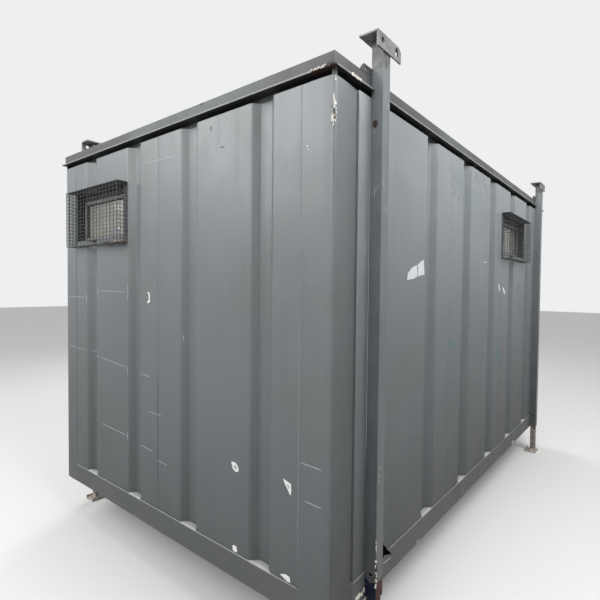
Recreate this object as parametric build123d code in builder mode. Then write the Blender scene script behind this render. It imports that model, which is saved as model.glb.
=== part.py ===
from build123d import *
from math import hypot
import os

# Steel site cabin on four jacklegs, in millimetres: X along the long side, Y across, Z up.
# The origin is on the ground under the middle. The front is the long wall at -Y, and left
# and right are as seen from there. Depth is measured inward from the outer wall face.

# Body
body_length = 4130
body_width = 2730
body_height = 2596
ground_clearance = 285

# Base frame and floor
sole_height = 143
sole_flange = 100
sole_thickness = 4
bearer_flange = 50
bearer_pitch = 600
bearer_count = 7
deck_thickness = 22

# Corrugated wall sheets
sheet_thickness = 3
sheet_return = 20
groove_width = 158
groove_depth = 40
groove_slope = 42
groove_pitch = 610
long_first_groove = 942
end_grooves = 4

# Corner posts, folded from plate
post_long_width = 193
post_end_width = 187
post_flat = 80
post_dish = 12
post_crease = 52
post_lean = 5
post_radius = 20
post_gusset_thickness = 4

# Insulated lining, ceiling and roof
lining_thickness = 50
ceiling_thickness = 60
roof_thickness = 3

# Roof rail: a fascia with a lip along its foot and a shadow gap under it
rail_thickness = 4
rail_flange = 100
fascia_height = 60
lip_height = 12
lip_reach = 18
shadow_gap = 30
rail_web_overlap = 44

# Windows and their mesh guards: the end ones are placed from the back corners, the front one
# from the right corner
window_width = 724
window_height = 362
window_sill = 1903
window_recess = 57
reveal_thickness = 4
window_side = 52
window_head = 76
window_foot = 30
pane_thickness = 6
pane_depth = 69
guard_width = 782
guard_height = 414
guard_bottom = 1855
guard_depth = 72
guard_plate = 4
guard_bar = 5
guard_columns = 7
guard_rows = 4
guard_end_rows = 2
guard_shift = -19
end_window_from_back = 564
long_window_from_right = 1209

# Door in the back wall
door_along = 1290
door_width = 860
door_height = 2010
door_frame_width = 45
door_proud = 12
door_leaf_thickness = 45
door_gap = 3
hinge_length = 120
hinge_height = 40
hinge_thickness = 6
hinge_count = 3
hinge_pitch = 740
handle_height = 1000
handle_length = 160
handle_bar = 16
handle_reach = 45
handle_inset = 45

# Jacklegs: an outer sleeve on the wall and an inner leg that slides in it
leg_inset = 330
back_leg_inset = 248
sleeve_size = 65
sleeve_wall = 6.3
sleeve_foot = 15
leg_clearance = 0.3
leg_wall = 4
leg_length = 2000
leg_pin = 20
leg_pin_pitch = 66
leg_pin_first = 90
leg_pins = 3
locked_pin = 5
foot_length = 140
foot_width = 115
foot_thickness = 10
foot_rim = 16
foot_rim_thickness = 5
foot_shift = 15

# Gap torn across the joint of front wall and sole beside the left sleeve, from its middle line
# and from the foot of the sole
gap_start = 110
gap_shoulder = 146
gap_tooth = 168
gap_tip = 245
gap_top = 195
gap_tooth_level = 122
gap_bottom = 105
gap_tip_level = 88

# Lifting angle on each sleeve, and the lug that ties the sleeve to the roof rail
cap_length = 220
cap_flange = 75
cap_width = 108
cap_thickness = 8
cap_shift = 14
cap_rise = 179
cap_hole = 28
cap_hole_spacing = 132
cap_hole_drop = 35
cap_slot_length = 45
cap_chamfer = 20
lug_length = 100
lug_top_length = 70
lug_height = 38
lug_thickness = 8
lug_hole = 18
notch_clearance = 2

# Levels and depths that follow from the sizes
half_length = body_length / 2
half_width = body_width / 2
sole_top = ground_clearance + sole_height
roof_top = ground_clearance + body_height
lip_top = roof_top - fascia_height
lip_bottom = lip_top - lip_height
wall_top = lip_bottom - shadow_gap
web_bottom = wall_top - rail_web_overlap
web_depth = groove_depth + sheet_thickness
lining_depth = web_depth + rail_thickness
room_depth = lining_depth + lining_thickness
roof_bottom = roof_top - rail_thickness - roof_thickness
ceiling_bottom = roof_bottom - ceiling_thickness
deck_bottom = sole_top - sole_thickness
sleeve_bottom = ground_clearance + sleeve_foot
cap_top = roof_top + cap_rise
sleeve_top = cap_top - cap_thickness
leg_size = sleeve_size - 2 * (sleeve_wall + leg_clearance)
leg_y = half_width + sleeve_size / 2
pin_level = leg_pin_first + locked_pin * leg_pin_pitch
guard_level = ground_clearance + guard_bottom + guard_height / 2
window_level = ground_clearance + window_sill + window_height / 2
door_level = sole_top + door_height / 2

SIDES = {
    "front": ((1, 0, 0), (0, -1, 0)),
    "back": ((-1, 0, 0), (0, 1, 0)),
    "left": ((0, -1, 0), (-1, 0, 0)),
    "right": ((0, 1, 0), (1, 0, 0)),
}

WINDOWS = {
    "front": body_length - long_window_from_right,
    "left": body_width - end_window_from_back,
    "right": body_width - end_window_from_back,
}

os.makedirs("parts", exist_ok=True)


def save(builder, name):
    """Label a finished piece and write its file."""
    builder.part.label = name
    export_step(builder.part, f"parts/{name}.step")


def plan(side, along, depth):
    """Plan position of a point at a distance along a wall and a depth behind its face."""
    if side == "front":
        return (-half_length + along, -half_width + depth)
    if side == "back":
        return (-half_length + along, half_width - depth)
    if side == "left":
        return (-half_length + depth, -half_width + along)
    return (half_length - depth, -half_width + along)


def wall_face(side, along, level):
    """Plane on a wall's outer face, with its normal outward and its Y axis up."""
    x_dir, z_dir = SIDES[side]
    return Plane(origin=(*plan(side, along, 0), level), x_dir=x_dir, z_dir=z_dir)


def leg_along(x_sign, y_sign):
    """X of the middle line of one leg: the back ones stand nearer the ends."""
    return x_sign * (half_length - (leg_inset if y_sign < 0 else back_leg_inset))


def long_grooves_along():
    """Grooves of a long wall: as many as the sheet has room for before the right corner post."""
    room = body_length - post_long_width - long_first_groove - groove_width
    return [long_first_groove + groove_pitch * n for n in range(1 + int(room // groove_pitch))]


def end_grooves_along():
    run = groove_pitch * (end_grooves - 1) + groove_width
    return [(body_width - run) / 2 + groove_pitch * n for n in range(end_grooves)]


def corrugated_outline(start, end, grooves, turn_in):
    """Outline of a folded sheet as (along, depth) points, out along its face and back behind it."""
    t = sheet_thickness
    slope_length = hypot(groove_slope, groove_depth)
    bend = t * (slope_length - groove_slope) / groove_depth
    face = [(start, turn_in), (start, 0)] if turn_in else [(start, 0)]
    back = [(start + t, turn_in), (start + t, t)] if turn_in else [(start, t)]
    for along in grooves:
        far = along + groove_width
        face += [
            (along, 0),
            (along + groove_slope, groove_depth),
            (far - groove_slope, groove_depth),
            (far, 0),
        ]
        back += [
            (along - bend, t),
            (along + groove_slope - bend, web_depth),
            (far - groove_slope + bend, web_depth),
            (far + bend, t),
        ]
    face += [(end, 0), (end, turn_in)] if turn_in else [(end, 0)]
    back += [(end - t, t), (end - t, turn_in)] if turn_in else [(end, t)]
    return face + back[::-1]


def cut_window(side, along):
    """Window opening through the wall piece being built."""
    with BuildSketch(wall_face(side, along, window_level)) as opening:
        Rectangle(window_width, window_height)
    extrude(opening.sketch, amount=-room_depth, mode=Mode.SUBTRACT)


def cut_doorway():
    """Doorway through the back wall piece being built, for the outside of its frame."""
    with BuildSketch(wall_face("back", door_along, sole_top)) as doorway:
        Rectangle(
            door_width + 2 * door_frame_width,
            door_height + door_frame_width,
            align=(Align.CENTER, Align.MIN),
        )
    extrude(doorway.sketch, amount=-room_depth, mode=Mode.SUBTRACT)


def cut_gap(depth):
    """Torn gap beside the front left sleeve, through the piece being built."""
    with BuildSketch(wall_face("front", leg_inset, ground_clearance)) as gap:
        with BuildLine():
            Polyline(
                (gap_start, gap_top),
                (gap_shoulder, gap_top),
                (gap_tip, gap_tip_level),
                (gap_tooth, gap_tooth_level),
                (gap_start, gap_bottom),
                close=True,
            )
        make_face()
    extrude(gap.sketch, amount=-depth, mode=Mode.SUBTRACT)


def bar_along(side, section, half_run, mitred=False):
    """A bar along one wall, from a section of (outward, level) points, mitred where asked."""
    along_x = side in ("front", "back")
    sign = -1 if side in ("front", "left") else 1
    face = half_width if along_x else half_length
    points = [(sign * (face + outward), level) for outward, level in section]
    with BuildPart() as bar:
        with BuildSketch(Plane.YZ if along_x else Plane.XZ):
            with BuildLine():
                Polyline(*points, close=True)
            make_face()
        extrude(amount=half_run, both=True)
        if mitred:
            for end in (-1, 1):
                x_sign, y_sign = (end, sign) if along_x else (sign, end)
                inward = (-x_sign, y_sign, 0) if along_x else (x_sign, -y_sign, 0)
                corner = (x_sign * half_length, y_sign * half_width, 0)
                split(bisect_by=Plane(origin=corner, z_dir=inward), keep=Keep.TOP)
    return bar


def sole_section():
    """Channel with its web outside and its flanges turned in."""
    t = sole_thickness
    low = ground_clearance
    return [
        (0, low),
        (0, sole_top),
        (-sole_flange, sole_top),
        (-sole_flange, sole_top - t),
        (-t, sole_top - t),
        (-t, low + t),
        (-sole_flange, low + t),
        (-sole_flange, low),
    ]


def rail_section():
    """Folded roof rail: top flange, fascia, lip, soffit over the shadow gap and a set-back web."""
    t = rail_thickness
    return [
        (0, roof_top),
        (0, lip_top),
        (lip_reach, lip_top),
        (lip_reach, lip_bottom),
        (-web_depth, lip_bottom),
        (-web_depth, web_bottom),
        (-web_depth - t, web_bottom),
        (-web_depth - t, lip_bottom + t),
        (-t, lip_bottom + t),
        (-t, roof_top - t),
        (-rail_flange, roof_top - t),
        (-rail_flange, roof_top),
    ]


def build_base():
    """Sole bars between the corner posts, bearers across between them, and the deck."""
    for side in ("front", "back"):
        sole = bar_along(side, sole_section(), half_length - post_long_width)
        if side == "front":
            with sole:
                cut_gap(sole_thickness)
        save(sole, f"sole_bar_{side}")
    for side in ("left", "right"):
        save(bar_along(side, sole_section(), half_width - post_end_width), f"sole_bar_{side}")

    t = sole_thickness
    low = ground_clearance + t
    high = deck_bottom
    with BuildPart() as bearers:
        with BuildSketch(Plane.XZ):
            with Locations((0, low)):
                with GridLocations(bearer_pitch, 1, bearer_count, 1):
                    Rectangle(bearer_flange, high - low, align=(Align.MIN, Align.MIN))
            with Locations((t, low + t)):
                with GridLocations(bearer_pitch, 1, bearer_count, 1):
                    Rectangle(
                        bearer_flange - t,
                        high - low - 2 * t,
                        align=(Align.MIN, Align.MIN),
                        mode=Mode.SUBTRACT,
                    )
        extrude(amount=half_width - t, both=True)
    save(bearers, "floor_bearers")

    with BuildPart() as deck:
        with BuildSketch(Plane.XY.offset(deck_bottom)):
            Rectangle(body_length - 2 * sole_flange, body_width - 2 * sole_flange)
        extrude(amount=deck_thickness)
    save(deck, "floor_deck")


def build_corner_post(name, x_sign, y_sign):
    """Folded post down to the foot of the soles, with a gusset that carries the deck's corner.

    Its end face is creased near the corner and its long face is dished towards the leg, and
    each edge has a return behind it.
    """
    t = sheet_thickness
    outline = [
        (0, post_end_width),
        (0, post_crease),
        (post_lean, 0),
        (post_flat, 0),
        (post_long_width, post_dish),
        (post_long_width, web_depth),
        (post_long_width - t, web_depth),
        (post_long_width - t, post_dish + t),
        (post_flat, t),
        (post_lean + t, t),
        (t, post_crease),
        (t, post_end_width - t),
        (web_depth, post_end_width - t),
        (web_depth, post_end_width),
    ]
    points = [(x_sign * (half_length - x), y_sign * (half_width - y)) for x, y in outline]
    outer_corner = (*points[2], ground_clearance)
    inner_corner = (*points[9], ground_clearance)
    gusset_x = x_sign * (half_length - post_long_width)
    gusset_y = y_sign * (half_width - post_end_width)
    with BuildPart() as post:
        with BuildSketch(Plane.XY.offset(ground_clearance)) as section:
            with BuildLine():
                Polyline(*points, close=True)
            make_face()
            fillet(section.vertices().sort_by_distance(outer_corner)[0], radius=post_radius)
            fillet(section.vertices().sort_by_distance(inner_corner)[0], radius=post_radius - t)
        extrude(amount=wall_top - ground_clearance)
        with Locations((gusset_x, gusset_y, deck_bottom)):
            Box(
                post_long_width - post_dish - t,
                post_end_width - post_dish - t,
                post_gusset_thickness,
                align=(
                    Align.MIN if x_sign > 0 else Align.MAX,
                    Align.MIN if y_sign > 0 else Align.MAX,
                    Align.MAX,
                ),
            )
    save(post, f"corner_post_{name}")


def build_wall(side, grooves, run, post_width, turn_in=0, window_along=None, doorway=False):
    """Corrugated sheet between the corner posts, and the insulated lining behind it."""
    outline = corrugated_outline(post_width, run - post_width, grooves, turn_in)
    with BuildPart() as sheet:
        with BuildSketch(Plane.XY.offset(sole_top)):
            with BuildLine():
                Polyline(*[plan(side, along, depth) for along, depth in outline], close=True)
            make_face()
        extrude(amount=wall_top - sole_top)
        if side == "front":
            cut_gap(sheet_thickness)
        if window_along is not None:
            cut_window(side, window_along)
        if doorway:
            cut_doorway()
    save(sheet, f"{side}_wall_sheet")

    ends_in = lining_depth if side in ("front", "back") else room_depth
    corners = [
        plan(side, ends_in, lining_depth),
        plan(side, run - ends_in, lining_depth),
        plan(side, run - ends_in, room_depth),
        plan(side, ends_in, room_depth),
    ]
    with BuildPart() as lining:
        with BuildSketch(Plane.XY.offset(sole_top)):
            with BuildLine():
                Polyline(*corners, close=True)
            make_face()
        extrude(amount=ceiling_bottom - sole_top)
        if window_along is not None:
            cut_window(side, window_along)
        if doorway:
            cut_doorway()
    save(lining, f"{side}_wall_lining")


def build_roof():
    for side in SIDES:
        along_x = side in ("front", "back")
        half_run = (half_length if along_x else half_width) + lip_reach
        rail = bar_along(side, rail_section(), half_run, mitred=True)
        if along_x:
            y_sign = -1 if side == "front" else 1
            notch = sleeve_size + 2 * notch_clearance
            with rail:
                legs = [leg_along(x_sign, y_sign) for x_sign in (-1, 1)]
                with Locations(*[(x, y_sign * half_width, lip_bottom) for x in legs]):
                    Box(
                        notch,
                        2 * lip_reach,
                        lip_height,
                        align=(Align.CENTER, Align.MAX if side == "front" else Align.MIN, Align.MIN),
                        mode=Mode.SUBTRACT,
                    )
        save(rail, f"roof_rail_{side}")

    with BuildPart() as roof:
        with BuildSketch(Plane.XY.offset(roof_bottom)):
            Rectangle(body_length - 2 * rail_thickness, body_width - 2 * rail_thickness)
        extrude(amount=roof_thickness)
    save(roof, "roof_sheet")

    with BuildPart() as ceiling:
        with BuildSketch(Plane.XY.offset(ceiling_bottom)):
            Rectangle(body_length - 2 * lining_depth, body_width - 2 * lining_depth)
        extrude(amount=ceiling_thickness)
    save(ceiling, "ceiling_panel")


def save_on_walls(builder, name, shift, level):
    """Set a copy of a piece that was built lying face up against each window's wall, and save it."""
    for side, along in WINDOWS.items():
        piece = wall_face(side, along + shift, level).location * builder.part
        piece.label = f"{name}_{side}"
        export_step(piece, f"parts/{name}_{side}.step")


def build_windows():
    """Frame at the back of a steel reveal, its pane, and a mesh guard in front."""
    pane_width = window_width - 2 * window_side
    pane_height = window_height - window_head - window_foot
    pane_centre = (0, (window_foot - window_head) / 2)
    with BuildPart() as frame:
        with BuildSketch():
            Rectangle(window_width, window_height)
            Rectangle(
                window_width - 2 * reveal_thickness,
                window_height - 2 * reveal_thickness,
                mode=Mode.SUBTRACT,
            )
        extrude(amount=-window_recess)
        with BuildSketch(Plane.XY.offset(-window_recess)):
            Rectangle(window_width, window_height)
            with Locations(pane_centre):
                Rectangle(pane_width, pane_height, mode=Mode.SUBTRACT)
        extrude(amount=window_recess - room_depth)
    save_on_walls(frame, "window_frame", 0, window_level)

    with BuildPart() as pane:
        with BuildSketch(Plane.XY.offset(-pane_depth)):
            with Locations(pane_centre):
                Rectangle(pane_width, pane_height)
        extrude(amount=-pane_thickness)
    save_on_walls(pane, "window_pane", 0, window_level)

    cell_width = (guard_width - 2 * guard_plate - guard_bar) / guard_columns
    cell_height = (guard_height - guard_bar) / guard_rows
    deep = guard_depth - guard_bar
    with BuildPart() as guard:
        with BuildSketch(Plane.XY.offset(deep)):
            Rectangle(guard_width, guard_height)
            with GridLocations(cell_width, cell_height, guard_columns, guard_rows):
                Rectangle(cell_width - guard_bar, cell_height - guard_bar, mode=Mode.SUBTRACT)
        extrude(amount=guard_bar)
        with BuildSketch():
            Rectangle(guard_width, guard_height)
            Rectangle(
                guard_width - 2 * guard_plate,
                guard_height - 2 * guard_bar,
                mode=Mode.SUBTRACT,
            )
        extrude(amount=guard_depth)
        with BuildSketch(Plane.XZ):
            with Locations((0, guard_depth / 2)):
                with GridLocations(cell_width, 1, guard_columns, 1):
                    Rectangle(cell_width - guard_bar, deep - guard_bar)
        extrude(amount=guard_height, both=True, mode=Mode.SUBTRACT)
        end_height = (guard_height - guard_bar) / guard_end_rows
        with BuildSketch(Plane.YZ):
            with Locations((0, guard_depth / 2)):
                with GridLocations(end_height, 1, guard_end_rows, 1):
                    Rectangle(end_height - guard_bar, deep - guard_bar)
        extrude(amount=guard_width, both=True, mode=Mode.SUBTRACT)
    save_on_walls(guard, "window_guard", guard_shift, guard_level)


def build_door():
    """Steel door, shut, in a welded frame, with three strap hinges and a pull handle."""
    outer_width = door_width + 2 * door_frame_width
    with BuildPart() as frame:
        with BuildSketch(wall_face("back", door_along, sole_top).offset(door_proud)):
            Rectangle(outer_width, door_height + door_frame_width, align=(Align.CENTER, Align.MIN))
            with Locations((0, door_frame_width)):
                Rectangle(
                    door_width,
                    door_height - door_frame_width,
                    align=(Align.CENTER, Align.MIN),
                    mode=Mode.SUBTRACT,
                )
        extrude(amount=-door_proud - room_depth)
    save(frame, "door_frame")

    leaf_width = door_width - 2 * door_gap
    leaf_height = door_height - door_frame_width - 2 * door_gap
    leaf_level = sole_top + door_frame_width + door_gap
    leaf_face = wall_face("back", door_along, leaf_level).offset(door_proud)
    with BuildPart() as leaf:
        with BuildSketch(leaf_face):
            Rectangle(leaf_width, leaf_height, align=(Align.CENTER, Align.MIN))
        extrude(amount=-door_leaf_thickness)
        with BuildSketch(leaf_face):
            with Locations((-door_width / 2, leaf_height / 2)):
                with GridLocations(1, hinge_pitch, 1, hinge_count):
                    Rectangle(hinge_length, hinge_height)
        extrude(amount=hinge_thickness)
        with BuildSketch(leaf_face):
            with Locations((leaf_width / 2 - handle_inset, handle_height)):
                with GridLocations(1, handle_length - handle_bar, 1, 2):
                    Rectangle(handle_bar, handle_bar)
        extrude(amount=handle_reach)
        with BuildSketch(leaf_face.offset(handle_reach - handle_bar)):
            with Locations((leaf_width / 2 - handle_inset, handle_height)):
                Rectangle(handle_bar, handle_length)
        extrude(amount=handle_bar)
    save(leaf, "door_leaf")


def build_sleeve(name, x_sign, y_sign):
    """Square sleeve against the wall, open at its foot, with a locking hole for the inner leg."""
    x, y = leg_along(x_sign, y_sign), y_sign * leg_y
    with BuildPart() as sleeve:
        with BuildSketch(Plane.XY.offset(sleeve_bottom)):
            with Locations((x, y)):
                Rectangle(sleeve_size, sleeve_size)
                Rectangle(sleeve_size - 2 * sleeve_wall, sleeve_size - 2 * sleeve_wall, mode=Mode.SUBTRACT)
        extrude(amount=sleeve_top - sleeve_bottom)
        with BuildSketch(Plane.YZ.offset(x)):
            with Locations((y, pin_level)):
                Circle(leg_pin / 2)
        extrude(amount=sleeve_size, both=True, mode=Mode.SUBTRACT)
    save(sleeve, f"leg_sleeve_{name}")


def lifting_angle(x_sign, y_sign):
    """Angle across the head of one sleeve, with a hole and a slot in its face and a corner cut off."""
    cap_x = leg_along(x_sign, y_sign) - x_sign * cap_shift
    outer_face = y_sign * (half_width + sleeve_size)
    face = outer_face + y_sign * cap_thickness
    back = face - y_sign * cap_width
    inward = x_sign * y_sign
    with BuildPart() as angle:
        with BuildSketch(Plane.YZ.offset(cap_x)):
            with BuildLine():
                Polyline(
                    (face, cap_top),
                    (back, cap_top),
                    (back, sleeve_top),
                    (outer_face, sleeve_top),
                    (outer_face, cap_top - cap_flange),
                    (face, cap_top - cap_flange),
                    close=True,
                )
            make_face()
        extrude(amount=cap_length / 2, both=True)
        outward = Plane(origin=(cap_x, face, cap_top), x_dir=(-y_sign, 0, 0), z_dir=(0, y_sign, 0))
        with BuildSketch(outward):
            with Locations((-inward * cap_hole_spacing / 2, -cap_hole_drop)):
                Circle(cap_hole / 2)
            with Locations((inward * cap_hole_spacing / 2, -cap_hole_drop)):
                SlotOverall(cap_slot_length, cap_hole, rotation=90)
            with BuildLine():
                Polyline(
                    (inward * (cap_length / 2 - cap_chamfer), 0),
                    (inward * cap_length / 2, 0),
                    (inward * cap_length / 2, -cap_chamfer),
                    close=True,
                )
            make_face()
        extrude(amount=-cap_thickness, mode=Mode.SUBTRACT)
    return angle.part


def build_lifting_angles():
    with BuildPart() as angles:
        for x_sign in (-1, 1):
            for y_sign in (-1, 1):
                add(lifting_angle(x_sign, y_sign))
    save(angles, "lifting_angles")


def build_lugs():
    """Lug on the roof rail beside each sleeve, holed for a tie."""
    with BuildPart() as lugs:
        for y_sign in (-1, 1):
            face = Plane(origin=(0, y_sign * half_width, roof_top), x_dir=(1, 0, 0), z_dir=(0, -1, 0))
            with BuildSketch(face):
                for x_sign in (-1, 1):
                    edge = leg_along(x_sign, y_sign) - sleeve_size / 2
                    with BuildLine():
                        Polyline(
                            (edge, 0),
                            (edge, lug_height),
                            (edge - lug_top_length, lug_height),
                            (edge - lug_length, 0),
                            close=True,
                        )
                    make_face()
                    with Locations((edge - lug_length / 2, lug_height / 2)):
                        Circle(lug_hole / 2, mode=Mode.SUBTRACT)
            extrude(amount=y_sign * lug_thickness)
    save(lugs, "roof_lugs")


def build_leg(name, x_sign, y_sign):
    """Inner leg with pin holes, on a foot plate with turned-up rims."""
    x, y = leg_along(x_sign, y_sign), y_sign * leg_y
    foot_y = y - y_sign * foot_shift
    with BuildPart() as leg:
        with BuildSketch(Plane.XY):
            with Locations((x, foot_y)):
                Rectangle(foot_length, foot_width)
        extrude(amount=foot_thickness)
        with BuildSketch(Plane.XY.offset(foot_thickness)):
            with Locations((x, foot_y)):
                with GridLocations(1, foot_width - foot_rim_thickness, 1, 2):
                    Rectangle(foot_length, foot_rim_thickness)
        extrude(amount=foot_rim)
        with BuildSketch(Plane.XY.offset(foot_thickness)):
            with Locations((x, y)):
                Rectangle(leg_size, leg_size)
                Rectangle(leg_size - 2 * leg_wall, leg_size - 2 * leg_wall, mode=Mode.SUBTRACT)
        extrude(amount=leg_length)
        with BuildSketch(Plane.YZ.offset(x)):
            for pin in (*range(leg_pins), locked_pin):
                with Locations((y, leg_pin_first + pin * leg_pin_pitch)):
                    Circle(leg_pin / 2)
        extrude(amount=leg_size, both=True, mode=Mode.SUBTRACT)
    save(leg, f"inner_leg_{name}")


build_base()
build_wall(
    "front",
    long_grooves_along(),
    body_length,
    post_long_width,
    turn_in=sheet_return,
    window_along=WINDOWS["front"],
)
build_wall("back", long_grooves_along(), body_length, post_long_width, turn_in=sheet_return, doorway=True)
build_wall("left", end_grooves_along(), body_width, post_end_width, window_along=WINDOWS["left"])
build_wall("right", end_grooves_along(), body_width, post_end_width, window_along=WINDOWS["right"])
build_roof()
build_windows()
build_door()
build_lifting_angles()
build_lugs()
for corner, x_sign, y_sign in (
    ("front_left", -1, -1),
    ("front_right", 1, -1),
    ("back_left", -1, 1),
    ("back_right", 1, 1),
):
    build_corner_post(corner, x_sign, y_sign)
    build_sleeve(corner, x_sign, y_sign)
    build_leg(corner, x_sign, y_sign)
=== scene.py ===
import math
import random

import bmesh
import bpy
from mathutils import Matrix, Vector, noise


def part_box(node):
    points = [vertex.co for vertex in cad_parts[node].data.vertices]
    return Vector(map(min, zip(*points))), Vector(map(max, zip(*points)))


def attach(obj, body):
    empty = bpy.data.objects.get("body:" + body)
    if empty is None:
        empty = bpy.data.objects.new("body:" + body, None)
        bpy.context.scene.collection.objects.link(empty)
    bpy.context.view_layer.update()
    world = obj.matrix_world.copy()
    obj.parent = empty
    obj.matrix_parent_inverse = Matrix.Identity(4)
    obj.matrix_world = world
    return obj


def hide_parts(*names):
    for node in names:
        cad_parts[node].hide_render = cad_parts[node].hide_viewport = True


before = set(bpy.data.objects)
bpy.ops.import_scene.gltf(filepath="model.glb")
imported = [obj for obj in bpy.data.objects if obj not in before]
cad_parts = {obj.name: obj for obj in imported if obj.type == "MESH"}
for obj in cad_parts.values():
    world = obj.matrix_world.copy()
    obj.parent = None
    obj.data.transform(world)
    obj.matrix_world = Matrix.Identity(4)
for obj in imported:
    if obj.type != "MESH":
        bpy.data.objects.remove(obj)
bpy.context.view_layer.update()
LONG = ("front", "back")


def by_side(long, end):
    """A value for each wall, from one for the long walls and one for the ends."""
    return {"front": long, "back": long, "left": end, "right": end}


# Sizes in metres, read from the frame where a node gives them
SOLE_LOW, SOLE_TOP = (corner.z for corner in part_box("sole_bar_front"))
WALL_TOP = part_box("front_wall_sheet")[1].z
HALF_X, HALF_Y = -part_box("corner_post_front_left")[0].xy
RAIL_OUT = -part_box("roof_rail_left")[0].x - HALF_X
ROOF_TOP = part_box("roof_rail_front")[1].z
FASCIA_HEIGHT = 0.060
LIP_HEIGHT = 0.012
LIP_TOP = ROOF_TOP - FASCIA_HEIGHT
LIP_LOW = LIP_TOP - LIP_HEIGHT
LEG_X = {side: -sum(v.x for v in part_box(f"leg_sleeve_{side}_left")) / 2 for side in LONG}
SLEEVE_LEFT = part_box("leg_sleeve_front_left")[0].x
SLEEVE = 0.065
SHEET = 0.003
PLATE = 0.004
POST_LONG = 0.193
POST_END = 0.187
WEB_DEPTH = 0.043
FLANGE = 0.100
GROOVE_WIDTH = 0.158
GROOVE_DEPTH = 0.040
GROOVE_SLOPE = 0.042
GROOVE_PITCH = 0.610
LONG_FIRST = 0.942
END_FIRST = (2 * HALF_Y - GROOVE_PITCH * 3 - GROOVE_WIDTH) / 2
POST = by_side(POST_LONG, POST_END)
RUN = by_side(2 * HALF_X, 2 * HALF_Y)
GROOVES = by_side(
    [LONG_FIRST + GROOVE_PITCH * n for n in range(5)],
    [END_FIRST + GROOVE_PITCH * n for n in range(4)],
)
SEAMS = by_side((1.316, 2.500, 3.667), (1.381,))
SEED = {"front": 3.1, "back": 17.7, "left": 8.4, "right": 29.2}


def place(side, along, depth, z):
    """Point on a wall: distance along it, depth behind its face, height."""
    if side in LONG:
        y = HALF_Y - depth
        return Vector((along - HALF_X, -y if side == "front" else y, z))
    x = HALF_X - depth
    return Vector((-x if side == "left" else x, along - HALF_Y, z))


# ---- Shader helpers ----

PAINT = (0.128, 0.139, 0.146)
PAINT_LIGHT = (0.205, 0.216, 0.220)
PAINT_GREEN = (0.104, 0.124, 0.122)
PRIMER = (0.62, 0.60, 0.54)
RUST_DARK = (0.050, 0.020, 0.012)
SCALE_DARK = (0.014, 0.006, 0.005)
RUST = (0.165, 0.058, 0.024)
MUD = (0.100, 0.088, 0.072)
PAINTED_SHADE_BLACK = (0.016, 0.017, 0.018)
ZINC = (0.205, 0.210, 0.212)
ZINC_PALE = (0.27, 0.275, 0.28)
OLD_RED = ((0.022, 0.007, 0.006), (0.070, 0.018, 0.014))
# Heights over which the tone runs from painted shade at the foot to a painted sky sheen at the head
LIGHT_GRADE_HEIGHTS = (0.40, 2.80)
FOOT_PAINTED_SHADE, HEAD_PAINTED_SHEEN = 0.50, 1.24
EDGE_RADIUS = 0.003
BEVEL_SAMPLES = 4


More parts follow.
